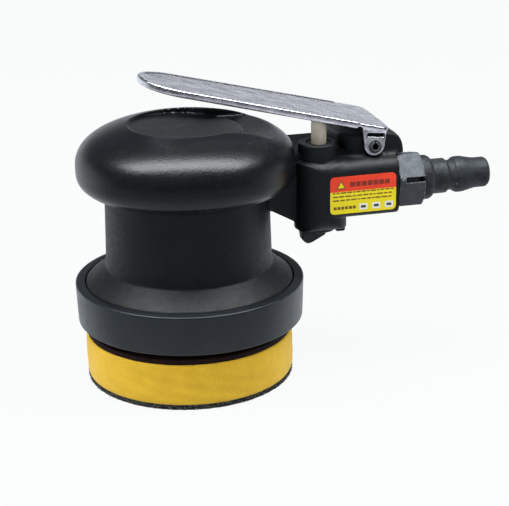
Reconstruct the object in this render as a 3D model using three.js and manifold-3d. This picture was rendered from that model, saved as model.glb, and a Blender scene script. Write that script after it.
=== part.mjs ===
// Palm-grip random orbital sander, 3 inch class, air driven, with a thumb lever.
// Units mm, +Z up. The spindle turns about the Z axis; Z = 0 is the face of the pad.
// +X runs from the spindle towards the air inlet.
import * as THREE from "three";
import { mergeVertices } from "three/addons/utils/BufferGeometryUtils.js";
import Module from "manifold-3d";

const wasm = await Module();
wasm.setup();

// ---- driving dimensions -------------------------------------------------
const PAD_RADIUS = 39.7;          // 3 inch class pad, 79.4 mm across
const HOOK_RADIUS = 39.2;
const HOOK_HEIGHT = 2.3;
const FOAM_TOP = 18.1;
const ORBIT = 2.5;                // offset of the pad's axis from the spindle's
const REST_TURN = 152;            // degrees that the spindle and pad stand turned from +Y at rest
const PLATE_RADIUS = 38.9;
const PLATE_TOP = 20.1;
const STUD_RADIUS = 4;
const JOURNAL_RADIUS = 6;

const SHROUD_BOTTOM = 22.3;
const SHROUD_TOP = 37.5;
const SHROUD_RADIUS_LOW = 43;
const SHROUD_RADIUS_TOP = 43.6;
const FLANGE_RADIUS = 39.6;
const FLANGE_BOTTOM = 30.3;
const CHAMBER_RADIUS = 35.2;
const CHAMBER_ROOF = 37;
const NECK_FOOT_Z = 43.6;
const NECK_RADIUS_LOW = 31.6;
const NECK_RADIUS_TOP = 30.9;
const NECK_TOP_Z = 72.2;
const HEAD_TOP_Z = 92.2;
const GRIP_RADIUS = 41.3;
const GRIP_EQUATOR = 82.6;
const GRIP_RISE = 17;             // superellipse above the equator
const GRIP_RISE_POWER = 2.4;
const GRIP_DROP = 12.1;           // and below it
const GRIP_DROP_POWER = 3.27;
const GRIP_LIP_TURN = 0.8;        // where the superellipse starts below, radians from the equator
const GRIP_RIM_TURN = 1.08;       // and where it ends above, at the dish
const GRIP_RIM_Z = 97.9;

const MOTOR_BORE = 26;
const MOTOR_FIT = 0.15;           // radial gap between the motor's stack and its bore
const THREAD_BORE = 27;
const THREAD_TOP = 42.5;
const MOTOR_TOP = 84;
const LOCK_RING_BOTTOM = 37.5;
const FRONT_PLATE_TOP = 51.5;
const LINER_TOP = 75.5;
const LINER_BORE = 20.2;
const LINER_SHIFT = 2;            // the liner's bore sits off the spindle's axis
const ROTOR_RADIUS = 17.8;
const VANE_COUNT = 5;
const VANE_THICKNESS = 1.6;
const VANE_DEPTH = 7.2;

const GRIP_FIT = 0.02;            // gap between the grip and the head inside it
const DISH_RADIUS = 21.1;
const DISH_FLOOR = 94.2;          // floor of the lever channel
const DISH_HIGH = 97.5;           // the dish's own floor slopes with the pressed lever above it
const DISH_LOW = 95.1;
const CHANNEL_HALF = 17.9;

const INLET_Y = -11;
const INLET_Z = 71.7;
const INLET_END = 77;
const INLET_HALF_WIDTH = 10.2;
const INLET_BODY_BOTTOM = 61.3;
const INLET_BODY_TOP = 83;
const VALVE_X = 48.35;
const VALVE_CYLINDER_X = 48.8;
const BOSS_X = 47.9;
const VALVE_CYLINDER_RADIUS = 9.9;
const VALVE_BOTTOM = 56;
const VALVE_CHAMBER = 6.3;
const VALVE_CHAMBER_TOP = 80;
const BOSS_RADIUS = 7.3;
const BOSS_TOP = 89.4;
const STEM_RADIUS = 2.85;
const STEM_SHOULDER = 75.6;       // clears the seat's top with the stem pressed 3.7 down
const STEM_TOP = 98.4;

const BLOCK_LEFT = 56;
const BLOCK_RIGHT = 80.8;
const BLOCK_HALF = 14.6;
const BLOCK_TOP = 91.6;
const MUFFLER_Y = 10.5;
const MUFFLER_Z = 72.3;
const MUFFLER_RADIUS = 12.6;
const MUFFLER_END = BLOCK_RIGHT;
const CAP_EDGE = MUFFLER_END + 4;
const CAP_DOME = MUFFLER_END + 7;

const LEVER_WIDTH = 33;           // across the ears
const LEVER_REAR_HALF = 16.9;     // half width at the rear edge
const LEVER_TIP_RADIUS = 14.9;
const LEVER_SHEET = 1.5;
const LEVER_RIM = 2.4;            // depth of the turned-down rim, sheet included
const LEVER_TILT = 14.1 * Math.PI / 180;
const LEVER_REAR_X = 74.6;
const LEVER_REAR_Z = 93.7;
const LEVER_LENGTH = 94;
const EAR_START = 2.4;
const EAR_END = 11.2;
const PIVOT_X = 68.7;
const PIVOT_Z = 87.2;
const PIN_RADIUS = 2.15;

const HEX_ACROSS_CORNERS = 22.8;
const HEX_TURN = -14 * Math.PI / 180;
const HEX_START = INLET_END;
const HEX_END = 87.4;

const ROUND_LARGE = 40;           // facets round a large, medium and small solid of revolution
const ROUND_MEDIUM = 30;
const ROUND_SMALL = 20;
const ROUND_TINY = 14;

// ---- materials ----------------------------------------------------------
const COLOURS = {
  housing: ["#1d1e20", 0.0, 0.62],
  rubber: ["#26282b", 0.0, 0.5],
  shroud: ["#232427", 0.0, 0.45],
  foam: ["#d9b32f", 0.0, 0.85],
  hook: ["#141416", 0.0, 0.95],
  fibre: ["#3a3a38", 0.0, 0.6],
  steel: ["#8c8f93", 0.9, 0.35],
  chrome: ["#c9ccd0", 1.0, 0.15],
  brass: ["#b08d4a", 0.9, 0.35],
  oxide: ["#3c3e41", 0.8, 0.45],
  iron: ["#5b5d60", 0.8, 0.5],
  ivory: ["#cfc9b8", 0.0, 0.5],
  vane: ["#5a3a22", 0.0, 0.7],
  felt: ["#8d8a84", 0.0, 0.95],
  label: ["#d84a2b", 0.0, 0.5],
};
const material = (slot) => {
  const [colour, metalness, roughness] = COLOURS[slot];
  return new THREE.MeshStandardMaterial({ color: colour, metalness, roughness });
};

// ---- solid helpers ------------------------------------------------------
function toSolid(geometry) {
  const plain = geometry.clone();
  plain.deleteAttribute("normal");
  plain.deleteAttribute("uv");
  const merged = mergeVertices(plain, 1e-4);
  const points = merged.attributes.position.array;
  const faces = [];
  const index = merged.index.array;
  for (let i = 0; i < index.length; i += 3) {
    const [a, b, c] = [index[i], index[i + 1], index[i + 2]];
    if (a !== b && b !== c && a !== c) {
      faces.push(a, b, c);
    }
  }
  let volume = 0;
  const p = new THREE.Vector3();
  const q = new THREE.Vector3();
  const r = new THREE.Vector3();
  for (let i = 0; i < faces.length; i += 3) {
    p.fromArray(points, faces[i] * 3);
    q.fromArray(points, faces[i + 1] * 3);
    r.fromArray(points, faces[i + 2] * 3);
    volume += p.dot(q.cross(r));
  }
  if (volume < 0) {
    for (let i = 0; i < faces.length; i += 3) {
      [faces[i + 1], faces[i + 2]] = [faces[i + 2], faces[i + 1]];
    }
  }
  const mesh = new wasm.Mesh({
    numProp: 3,
    vertProperties: new Float32Array(points),
    triVerts: new Uint32Array(faces),
  });
  mesh.merge();
  return new wasm.Manifold(mesh);
}

// A solid of revolution about Z from a closed list of [radius, z].
function lathe(profile, segments, x = 0, y = 0) {
  const points = [...profile, profile[0]].map(([radius, z]) => new THREE.Vector2(radius, z));
  const geometry = new THREE.LatheGeometry(points, segments);
  geometry.rotateX(Math.PI / 2);
  geometry.translate(x, y, 0);
  return toSolid(geometry);
}

function disc(radius, z0, z1, x = 0, y = 0, segments = ROUND_SMALL) {
  return lathe([[0, z0], [radius, z0], [radius, z1], [0, z1]], segments, x, y);
}

function tube(inner, outer, z0, z1, x = 0, y = 0, segments = ROUND_SMALL) {
  return lathe([[inner, z0], [outer, z0], [outer, z1], [inner, z1]], segments, x, y);
}

// The same, turned so the axis runs along +X through (y, z).
function latheX(profile, segments, y, z) {
  return lathe(profile, segments).rotate([0, 90, 0]).translate([0, y, z]);
}

function rod(radius, x0, x1, y, z, segments = ROUND_SMALL) {
  return latheX([[0, x0], [radius, x0], [radius, x1], [0, x1]], segments, y, z);
}

function box(x0, x1, y0, y1, z0, z1) {
  const geometry = new THREE.BoxGeometry(x1 - x0, y1 - y0, z1 - z0);
  geometry.translate((x0 + x1) / 2, (y0 + y1) / 2, (z0 + z1) / 2);
  return toSolid(geometry);
}

function prism(shape, depth, curveSegments = 5) {
  return toSolid(new THREE.ExtrudeGeometry(shape, {
    depth, bevelEnabled: false, curveSegments,
  }));
}

// A shape drawn as (x, z) and pushed from y0 to y1.
function prismY(shape, y0, y1, curveSegments = 5) {
  return prism(shape, y1 - y0, curveSegments).rotate([90, 0, 0]).translate([0, y1, 0]);
}

// A shape drawn as (y, z) and pushed from x0 to x1.
function prismX(shape, x0, x1, curveSegments = 5) {
  return prism(shape, x1 - x0, curveSegments).rotate([90, 0, 90]).translate([x0, 0, 0]);
}

function polygon(points) {
  return new THREE.Shape(points.map(([a, b]) => new THREE.Vector2(a, b)));
}

// A rectangle with its own radius at each corner: low-left, low-right, top-right, top-left.
function roundedBox(a0, a1, b0, b1, radii) {
  const shape = new THREE.Shape();
  const [ll, lr, tr, tl] = radii;
  shape.moveTo(a0 + ll, b0);
  shape.lineTo(a1 - lr, b0);
  shape.absarc(a1 - lr, b0 + lr, lr, -Math.PI / 2, 0, false);
  shape.lineTo(a1, b1 - tr);
  shape.absarc(a1 - tr, b1 - tr, tr, 0, Math.PI / 2, false);
  shape.lineTo(a0 + tl, b1);
  shape.absarc(a0 + tl, b1 - tl, tl, Math.PI / 2, Math.PI, false);
  shape.lineTo(a0, b0 + ll);
  shape.absarc(a0 + ll, b0 + ll, ll, Math.PI, 1.5 * Math.PI, false);
  return shape;
}

function union(...solids) {
  return solids.reduce((sum, next) => sum.add(next));
}

function cut(solid, ...tools) {
  return tools.reduce((left, tool) => left.subtract(tool), solid);
}

function ring(count, make) {
  return Array.from({ length: count }, (unused, i) => make(2 * Math.PI * i / count));
}

const group = new THREE.Group();
group.name = "orbital_sander";

function add(name, slot, solid) {
  const data = solid.getMesh();
  const indexed = new THREE.BufferGeometry();
  indexed.setAttribute("position", new THREE.BufferAttribute(
    new Float32Array(data.vertProperties), data.numProp));
  indexed.setIndex(new THREE.BufferAttribute(new Uint32Array(data.triVerts), 1));
  const geometry = indexed.toNonIndexed();
  geometry.computeVertexNormals();
  const mesh = new THREE.Mesh(geometry, material(slot));
  mesh.name = name;
  group.add(mesh);
}

// The spindle and the pad are drawn with the pad's axis at +Y of the spindle's, then turned.
function addTurned(name, slot, solid) {
  add(name, slot, solid.rotate([0, 0, REST_TURN]));
}

// ---- pad assembly, about its own axis ----------------------------------
const STUD_HEAD_BOTTOM = FOAM_TOP - 2.8;
const STUD_HEAD_RADIUS = 9;
const STUD_TOP = 27.8;
const PAD_BEARING_BOTTOM = 23.5;
const PAD_BEARING_TOP = 31.5;

addTurned("hook_layer", "hook", disc(HOOK_RADIUS, 0, HOOK_HEIGHT, 0, ORBIT, ROUND_LARGE));

addTurned("foam_pad", "foam", lathe([
  [0, HOOK_HEIGHT], [PAD_RADIUS - 0.5, HOOK_HEIGHT], [PAD_RADIUS, HOOK_HEIGHT + 0.5],
  [PAD_RADIUS, FOAM_TOP - 0.9], [PAD_RADIUS - 0.9, FOAM_TOP],
  [STUD_HEAD_RADIUS + 0.4, FOAM_TOP], [STUD_HEAD_RADIUS + 0.4, STUD_HEAD_BOTTOM],
  [0, STUD_HEAD_BOTTOM],
], ROUND_LARGE, 0, ORBIT));

addTurned("backing_plate", "fibre", tube(
  STUD_RADIUS + 0.2, PLATE_RADIUS, FOAM_TOP, PLATE_TOP, 0, ORBIT, ROUND_LARGE));

addTurned("pad_stud", "steel", lathe([
  [0, STUD_HEAD_BOTTOM], [STUD_HEAD_RADIUS, STUD_HEAD_BOTTOM], [STUD_HEAD_RADIUS, FOAM_TOP],
  [STUD_RADIUS, FOAM_TOP], [STUD_RADIUS, STUD_TOP - 0.8], [STUD_RADIUS - 0.8, STUD_TOP],
  [0, STUD_TOP],
], ROUND_SMALL, 0, ORBIT));

const PAD_FLANGE_TOP = 22.5;
const SCREW_SHANK = 2.4;
const hexFlange = prism(polygon(ring(6, (a) => [9.2 * Math.cos(a), 9.2 * Math.sin(a)])),
  PAD_FLANGE_TOP - PLATE_TOP).translate([0, ORBIT, PLATE_TOP]);
addTurned("pad_spindle", "steel", cut(
  union(hexFlange, disc(JOURNAL_RADIUS, PLATE_TOP + 1, PAD_BEARING_TOP, 0, ORBIT, ROUND_MEDIUM)),
  disc(STUD_RADIUS + 0.2, PLATE_TOP - 1, STUD_TOP + 0.6, 0, ORBIT, ROUND_SMALL),
  disc(SCREW_SHANK + 0.15, STUD_TOP, PAD_BEARING_TOP + 1, 0, ORBIT, ROUND_SMALL)));

addTurned("dust_washer", "steel", tube(
  JOURNAL_RADIUS + 0.15, 13.2, PAD_FLANGE_TOP, PAD_FLANGE_TOP + 0.5, 0, ORBIT, ROUND_MEDIUM));
addTurned("spindle_washer", "steel", tube(
  SCREW_SHANK + 0.2, 8.4, PAD_BEARING_TOP, PAD_BEARING_TOP + 1.2, 0, ORBIT, ROUND_SMALL));
const SCREW_SEAT = PAD_BEARING_TOP + 1.2;
const screwSocket = prism(polygon(ring(6, (a) => [2.2 * Math.cos(a), 2.2 * Math.sin(a)])), 2.5)
  .translate([0, ORBIT, SCREW_SEAT + 1]);
addTurned("spindle_screw", "steel", cut(lathe([
  [0, STUD_TOP + 0.9], [SCREW_SHANK, STUD_TOP + 0.9], [SCREW_SHANK, SCREW_SEAT],
  [4.4, SCREW_SEAT], [4.4, SCREW_SEAT + 2.2], [0, SCREW_SEAT + 2.2],
], ROUND_SMALL, 0, ORBIT), screwSocket));

// ---- ball bearings ------------------------------------------------------
const BALL_RADIUS = 1.6;
function bearing(put, prefix, bore, outside, z0, z1, y, ballCount) {
  const middle = (bore + outside) / 2;
  const mid = (z0 + z1) / 2;
  const inner = middle - 1.8;
  const outer = middle + 1.8;
  put(`${prefix}_outer_race`, "steel", tube(outer, outside, z0, z1, 0, y));
  put(`${prefix}_inner_race`, "steel", tube(bore, inner, z0, z1, 0, y));
  const balls = ring(ballCount, (a) => toSolid(
    new THREE.SphereGeometry(BALL_RADIUS, 7, 4).rotateX(Math.PI / 2)
      .translate(middle * Math.cos(a), y + middle * Math.sin(a), mid)));
  const cage = tube(middle - 1, middle + 1, mid - 0.9, mid + 0.9, 0, y);
  put(`${prefix}_balls`, "steel", union(cage, ...balls));
}

bearing(addTurned, "pad_bearing", JOURNAL_RADIUS + 0.15, 14, PAD_BEARING_BOTTOM,
  PAD_BEARING_TOP, ORBIT, 6);

// ---- spindle: shaft, eccentric cup and counterweight in one forging -----
const CUP_BOTTOM = 20.6;
const CUP_ROOF = 35.2;
const CUP_TOP = 36.4;
const SHAFT_RADIUS = 6;
const FRONT_BEARING_BOTTOM = 42.5;
const FRONT_BEARING_TOP = 50.5;
const ROTOR_BOTTOM = FRONT_PLATE_TOP + 0.15;
const ROTOR_TOP = LINER_TOP - 0.15;
const REAR_SHAFT_RADIUS = 4;
const REAR_BEARING_BOTTOM = 76.8;
const REAR_BEARING_TOP = 83.8;
const SHAFT_TOP = 85.6;

const counterweight = cut(
  disc(32.5, 24.5, CUP_TOP, 0, 0, ROUND_MEDIUM),
  box(-40, 40, -4, 40, 20, 40));
const cup = disc(17.4, CUP_BOTTOM, CUP_TOP, 0, ORBIT, ROUND_MEDIUM);
const shaft = lathe([
  [0, CUP_TOP - 1], [SHAFT_RADIUS + 1.6, CUP_TOP - 1], [SHAFT_RADIUS + 1.6, 42.3],
  [SHAFT_RADIUS, 42.3], [SHAFT_RADIUS, ROTOR_TOP], [REAR_SHAFT_RADIUS, ROTOR_TOP],
  [REAR_SHAFT_RADIUS, SHAFT_TOP - 0.6], [REAR_SHAFT_RADIUS - 0.6, SHAFT_TOP], [0, SHAFT_TOP],
], ROUND_SMALL);
const keySlot = box(SHAFT_RADIUS - 1.3, SHAFT_RADIUS + 1, -1.6, 1.6, 56, 71);
addTurned("spindle", "iron", cut(
  union(counterweight, cup, shaft),
  disc(14.1, CUP_BOTTOM - 1, PAD_BEARING_TOP, 0, ORBIT, ROUND_MEDIUM),
  disc(10.4, PAD_BEARING_TOP - 1, CUP_ROOF, 0, ORBIT, ROUND_MEDIUM),
  tube(12, 14.9, CUP_BOTTOM + 1.3, CUP_BOTTOM + 2.5, 0, ORBIT, ROUND_MEDIUM),
  keySlot));

addTurned("pad_bearing_ring", "steel", cut(
  tube(13.3, 14.8, CUP_BOTTOM + 1.4, CUP_BOTTOM + 2.4, 0, ORBIT, ROUND_MEDIUM),
  box(-2.5, 2.5, ORBIT - 20, ORBIT, CUP_BOTTOM, CUP_BOTTOM + 5)));

// ---- vane motor ---------------------------------------------------------
add("lock_ring", "steel", cut(
  tube(12.4, THREAD_BORE - 0.2, LOCK_RING_BOTTOM, THREAD_TOP, 0, 0, ROUND_MEDIUM),
  ...ring(4, (a) => box(20, 30, -2, 2, LOCK_RING_BOTTOM - 1, LOCK_RING_BOTTOM + 2)
    .rotate([0, 0, a * 180 / Math.PI + 45]))));

bearing(add, "front_bearing", SHAFT_RADIUS + 0.15, 14, FRONT_BEARING_BOTTOM,
  FRONT_BEARING_TOP, 0, 6);
bearing(add, "rear_bearing", REAR_SHAFT_RADIUS + 0.15, 11, REAR_BEARING_BOTTOM,
  REAR_BEARING_TOP, 0, 6);

const plateRadius = MOTOR_BORE - MOTOR_FIT;
add("front_end_plate", "iron", lathe([
  [14.15, THREAD_TOP], [plateRadius, THREAD_TOP], [plateRadius, FRONT_PLATE_TOP],
  [SHAFT_RADIUS + 1, FRONT_PLATE_TOP], [SHAFT_RADIUS + 1, FRONT_BEARING_TOP],
  [14.15, FRONT_BEARING_TOP],
], ROUND_MEDIUM));
add("rear_end_plate", "iron", lathe([
  [REAR_SHAFT_RADIUS + 1, LINER_TOP], [plateRadius, LINER_TOP], [plateRadius, MOTOR_TOP],
  [11.15, MOTOR_TOP], [11.15, REAR_BEARING_BOTTOM], [REAR_SHAFT_RADIUS + 1, REAR_BEARING_BOTTOM],
], ROUND_MEDIUM));

const linerBore = disc(LINER_BORE, FRONT_PLATE_TOP - 1, LINER_TOP + 1, 0, LINER_SHIFT, ROUND_MEDIUM);
const inletPort = box(10, 30, -9, -6, LINER_TOP - 9, LINER_TOP - 3);
const exhaustPorts = [0, 1, 2].map((i) => box(
  8, 30, 8, 12, FRONT_PLATE_TOP + 3 + i * 6, FRONT_PLATE_TOP + 6 + i * 6));
const dowelHole = disc(1.1, LINER_TOP - 4, LINER_TOP + 1, -23.9, 0, ROUND_TINY);
add("cylinder_liner", "iron", cut(
  disc(plateRadius, FRONT_PLATE_TOP, LINER_TOP, 0, 0, ROUND_MEDIUM),
  linerBore, inletPort, ...exhaustPorts, dowelHole));
add("liner_dowel", "steel", disc(1, LINER_TOP - 3.8, LINER_TOP, -23.9, 0, ROUND_TINY));

const vaneAngles = ring(VANE_COUNT, (a) => a * 180 / Math.PI + 36);
const vaneSlots = vaneAngles.map((a) => box(
  ROTOR_RADIUS - VANE_DEPTH - 0.6, ROTOR_RADIUS + 2,
  -VANE_THICKNESS / 2 - 0.1, VANE_THICKNESS / 2 + 0.1,
  ROTOR_BOTTOM - 1, ROTOR_TOP + 1).rotate([0, 0, a]));
addTurned("rotor", "steel", cut(
  tube(SHAFT_RADIUS + 0.15, ROTOR_RADIUS, ROTOR_BOTTOM, ROTOR_TOP, 0, 0, ROUND_MEDIUM),
  ...vaneSlots,
  box(0, SHAFT_RADIUS + 1.6, -1.6, 1.6, 50, 80)));
vaneAngles.forEach((a, i) => addTurned(`vane_${i + 1}`, "vane", box(
  ROTOR_RADIUS - VANE_DEPTH - 0.1, ROTOR_RADIUS - 0.1,
  -VANE_THICKNESS / 2, VANE_THICKNESS / 2,
  ROTOR_BOTTOM + 0.1, ROTOR_TOP - 0.1).rotate([0, 0, a])));
addTurned("rotor_key", "steel", box(SHAFT_RADIUS - 1.2, SHAFT_RADIUS + 1.4, -1.45, 1.45, 56.2, 70.8));

// ---- housing ------------------------------------------------------------
const headProfile = [
  [NECK_RADIUS_TOP, NECK_TOP_Z], [NECK_RADIUS_TOP, 74.2], [35.4, 77.4], [36.6, 82],
  [35.2, 87.2], [30.5, 90.6], [22.5, HEAD_TOP_Z],
];
const shell = lathe([
  [0, MOTOR_TOP + 2.6], [8, MOTOR_TOP + 2.6], [8, MOTOR_TOP], [MOTOR_BORE, MOTOR_TOP],
  [MOTOR_BORE, THREAD_TOP], [THREAD_BORE, THREAD_TOP], [THREAD_BORE, CHAMBER_ROOF],
  [CHAMBER_RADIUS, CHAMBER_ROOF], [CHAMBER_RADIUS, FLANGE_BOTTOM],
  [FLANGE_RADIUS, FLANGE_BOTTOM], [FLANGE_RADIUS, 32.6], [38.3, 32.6], [38.3, 34.6],
  [FLANGE_RADIUS, 34.6], [FLANGE_RADIUS, SHROUD_TOP], [NECK_RADIUS_LOW + 0.6, 43.1],
  [NECK_RADIUS_LOW, NECK_FOOT_Z + 0.8],
  ...headProfile,
  [0, HEAD_TOP_Z],
], ROUND_LARGE);

const WEB_TOP = 86;
const webSide = polygon([
  [24, 67], [30, 64], [40, 58.2], [44, VALVE_BOTTOM], [52, VALVE_BOTTOM], [60, 61],
  [60, WEB_TOP], [24, WEB_TOP],
]);
const WEB_NEAR = -13;
const WEB_FAR = 14.4;
const web = prismY(webSide, WEB_NEAR, WEB_FAR);
const inletNear = INLET_Y - INLET_HALF_WIDTH;
const inletFar = INLET_Y + INLET_HALF_WIDTH;
const valveCylinder = disc(VALVE_CYLINDER_RADIUS, VALVE_BOTTOM, INLET_BODY_TOP,
  VALVE_CYLINDER_X, INLET_Y, ROUND_MEDIUM).intersect(prismX(
  roundedBox(inletNear, inletFar, VALVE_BOTTOM, INLET_BODY_TOP, [6, 6, 6, 5]), 30, 70, 6));
const boss = lathe([
  [0, 80], [BOSS_RADIUS, 80], [BOSS_RADIUS, BOSS_TOP - 0.5], [BOSS_RADIUS - 0.5, BOSS_TOP],
  [0, BOSS_TOP],
], ROUND_MEDIUM, BOSS_X, INLET_Y);
const inletBody = prismX(roundedBox(
  inletNear, inletFar, INLET_BODY_BOTTOM, INLET_BODY_TOP, [3.4, 3, 6, 5]),
VALVE_CYLINDER_X, INLET_END, 6);
const blockSide = polygon([
  [BLOCK_LEFT, 66], [BLOCK_RIGHT, 66], [BLOCK_RIGHT, 84.5], [80.2, 87.8], [78.6, 90.3],
  [76, 91.4], [73, BLOCK_TOP], [BLOCK_LEFT, BLOCK_TOP],
]);
const block = prismY(blockSide, -BLOCK_HALF, BLOCK_HALF).intersect(prism(
  roundedBox(BLOCK_LEFT, BLOCK_RIGHT + 1, -BLOCK_HALF, BLOCK_HALF, [8, 1, 1, 3]), 40, 5)
  .translate([0, 0, 60]));
const mufflerBody = rod(MUFFLER_RADIUS, 50, MUFFLER_END, MUFFLER_Y, MUFFLER_Z, ROUND_MEDIUM);
const stopLug = box(54.6, 58.2, INLET_Y - 2, INLET_Y + 2, 53.8, VALVE_BOTTOM + 4);
const blockUnderCut = box(50, 90, -BLOCK_HALF - 1, INLET_Y - 2, 55, 80.5);

const hexClearance = rod(12.1, INLET_END, 95, INLET_Y, INLET_Z, ROUND_MEDIUM);
const earPockets = [-1, 1].map((side) => {
  const middle = side * (BLOCK_HALF + 1.5);
  return box(62, 77, middle - 1.5, middle + 1.5, 82.7, 100);
});
const MUFFLER_BORE = 9.9;
const PASSAGE = 2.6;
const housing = cut(
  union(shell, web, valveCylinder, boss, inletBody, cut(block, blockUnderCut), mufflerBody,
    stopLug),
  disc(MOTOR_BORE, THREAD_TOP, MOTOR_TOP, 0, 0, ROUND_LARGE),
  disc(VALVE_CHAMBER, VALVE_BOTTOM - 1, VALVE_CHAMBER_TOP, VALVE_X, INLET_Y, ROUND_SMALL),
  disc(4.7, VALVE_CHAMBER_TOP - 1, BOSS_TOP + 1, VALVE_X, INLET_Y, ROUND_SMALL),
  rod(7.5, 60, INLET_END + 1, INLET_Y, INLET_Z, ROUND_SMALL),
  rod(PASSAGE, VALVE_X, 61, INLET_Y, 67, ROUND_TINY),
  rod(PASSAGE, 20, VALVE_X, INLET_Y + 2.6, 75, ROUND_TINY),
  rod(MUFFLER_BORE, 57, MUFFLER_END + 1, MUFFLER_Y, MUFFLER_Z, ROUND_MEDIUM),
  rod(4, 20, 58, MUFFLER_Y, 69, ROUND_TINY),
  hexClearance,
  ...earPockets,
  disc(PIN_RADIUS + 0.15, -BLOCK_HALF - 1, BLOCK_HALF + 1, 0, 0, ROUND_TINY)
    .rotate([90, 0, 0]).translate([PIVOT_X, 0, PIVOT_Z]));
add("housing", "housing", housing);

// ---- rubber grip --------------------------------------------------------
const gripBore = headProfile.slice().reverse().map(([r, z]) => [r + GRIP_FIT, z]);
gripBore[0][1] = HEAD_TOP_Z + GRIP_FIT;
const gripArc = (from, to, steps, height, power) => Array.from({ length: steps + 1 }, (unused, i) => {
  const t = from + (to - from) * i / steps;
  return [GRIP_RADIUS * Math.cos(t) ** (2 / power),
    GRIP_EQUATOR + height * Math.sin(t) ** (2 / power)];
});
const gripShell = lathe([
  ...gripBore,
  ...gripArc(GRIP_LIP_TURN, 0.1, 6, -GRIP_DROP, GRIP_DROP_POWER),
  ...gripArc(0, GRIP_RIM_TURN, 10, GRIP_RISE, GRIP_RISE_POWER),
  [DISH_RADIUS + 0.4, GRIP_RIM_Z], [DISH_RADIUS, GRIP_RIM_Z - 0.5],
  [DISH_RADIUS, DISH_FLOOR], [0, DISH_FLOOR], [0, HEAD_TOP_Z + GRIP_FIT],
], ROUND_LARGE);
const channel = box(0, 48, -CHANNEL_HALF, CHANNEL_HALF, DISH_FLOOR, 104);
const webNotch = prismY(polygon([
  [24, 60], [52, 50], [62, 60], [62, WEB_TOP + 0.3], [24, WEB_TOP + 0.3],
]), WEB_NEAR - 0.3, WEB_FAR + 0.3);
const valveNotch = disc(VALVE_CYLINDER_RADIUS + 0.3, 50, 100, VALVE_CYLINDER_X, INLET_Y, ROUND_MEDIUM);
const dishEnd = DISH_RADIUS + 0.3;
const dishFloor = prismY(polygon([
  [-dishEnd, DISH_FLOOR - 0.4], [dishEnd, DISH_FLOOR - 0.4], [dishEnd, DISH_LOW],
  [-dishEnd, DISH_HIGH],
]), -dishEnd, dishEnd).intersect(disc(dishEnd, HEAD_TOP_Z + 1, DISH_HIGH + 1, 0, 0, ROUND_LARGE));
add("rubber_grip", "rubber", union(cut(gripShell, channel, webNotch, valveNotch), dishFloor));

// ---- shroud -------------------------------------------------------------
add("shroud", "shroud", lathe([
  [FLANGE_RADIUS + 0.15, SHROUD_TOP], [FLANGE_RADIUS + 0.15, 34.3], [38.5, 34.3],
  [38.5, 32.9], [FLANGE_RADIUS + 0.15, 32.9], [FLANGE_RADIUS + 0.15, FLANGE_BOTTOM],
  [40.4, FLANGE_BOTTOM - 0.6], [40.4, SHROUD_BOTTOM],
  [SHROUD_RADIUS_LOW - 0.4, SHROUD_BOTTOM], [SHROUD_RADIUS_LOW, SHROUD_BOTTOM + 0.4],
  [SHROUD_RADIUS_TOP, SHROUD_TOP - 0.5], [SHROUD_RADIUS_TOP - 0.5, SHROUD_TOP],
], ROUND_LARGE));

// ---- inlet: screen, hexagon bushing and quick plug ----------------------
add("inlet_screen", "brass", cut(
  rod(7.3, 60.4, 61.6, INLET_Y, INLET_Z, ROUND_SMALL),
  ...ring(6, (a) => rod(1.3, 60, 62, INLET_Y + 4.2 * Math.cos(a), INLET_Z + 4.2 * Math.sin(a), 8)),
  rod(1.3, 60, 62, INLET_Y, INLET_Z, 8)));

const hexCorner = HEX_ACROSS_CORNERS / 2;
const hexPrism = prismX(polygon(ring(6, (a) => [
  hexCorner * Math.cos(a + HEX_TURN), hexCorner * Math.sin(a + HEX_TURN)])),
HEX_START, HEX_END).translate([0, INLET_Y, INLET_Z]);
const hexRound = latheX([
  [0, HEX_START], [hexCorner - 1.3, HEX_START], [hexCorner + 0.1, HEX_START + 1],
  [hexCorner + 0.1, HEX_END - 1], [hexCorner - 1.3, HEX_END], [0, HEX_END],
], ROUND_MEDIUM, INLET_Y, INLET_Z);
const hexStub = rod(7.3, 62, HEX_START + 1, INLET_Y, INLET_Z, ROUND_SMALL);
const hexSlots = [0, Math.PI].map((side) => {
  const turn = side + Math.PI + HEX_TURN;
  return box(HEX_END - 8, HEX_END + 1, hexCorner - 2.6, hexCorner + 1, -0.95, 0.95)
    .rotate([turn * 180 / Math.PI, 0, 0]).translate([0, INLET_Y, INLET_Z]);
});
const PLUG_SHANK = 5.4;
add("inlet_bushing", "oxide", cut(
  union(hexPrism.intersect(hexRound), hexStub),
  rod(4.6, 60, HEX_END - 7, INLET_Y, INLET_Z, ROUND_SMALL),
  rod(PLUG_SHANK + 0.2, HEX_END - 8, HEX_END + 1, INLET_Y, INLET_Z, ROUND_SMALL),
  ...hexSlots));

const PLUG_BORE = 3.4;
const PLUG_END = 115.2;
add("quick_plug", "oxide", latheX([
  [PLUG_BORE, HEX_END - 7.6], [PLUG_SHANK, HEX_END - 7.6], [PLUG_SHANK, HEX_END],
  [8.5, HEX_END], [8.5, HEX_END + 3.6], [7.9, HEX_END + 4.4], [6.7, HEX_END + 4.8],
  [6.7, PLUG_END - 17.2], [6.3, PLUG_END - 16.6], [5.75, PLUG_END - 16.2],
  [5.75, PLUG_END - 14.6], [6.5, PLUG_END - 13.6], [6.9, PLUG_END - 13],
  [6.9, PLUG_END - 10.6], [6.5, PLUG_END - 9.8], [5.75, PLUG_END - 5.3],
  [5.95, PLUG_END - 1.2], [5.3, PLUG_END], [PLUG_BORE, PLUG_END],
], ROUND_SMALL, INLET_Y, INLET_Z));

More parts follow.
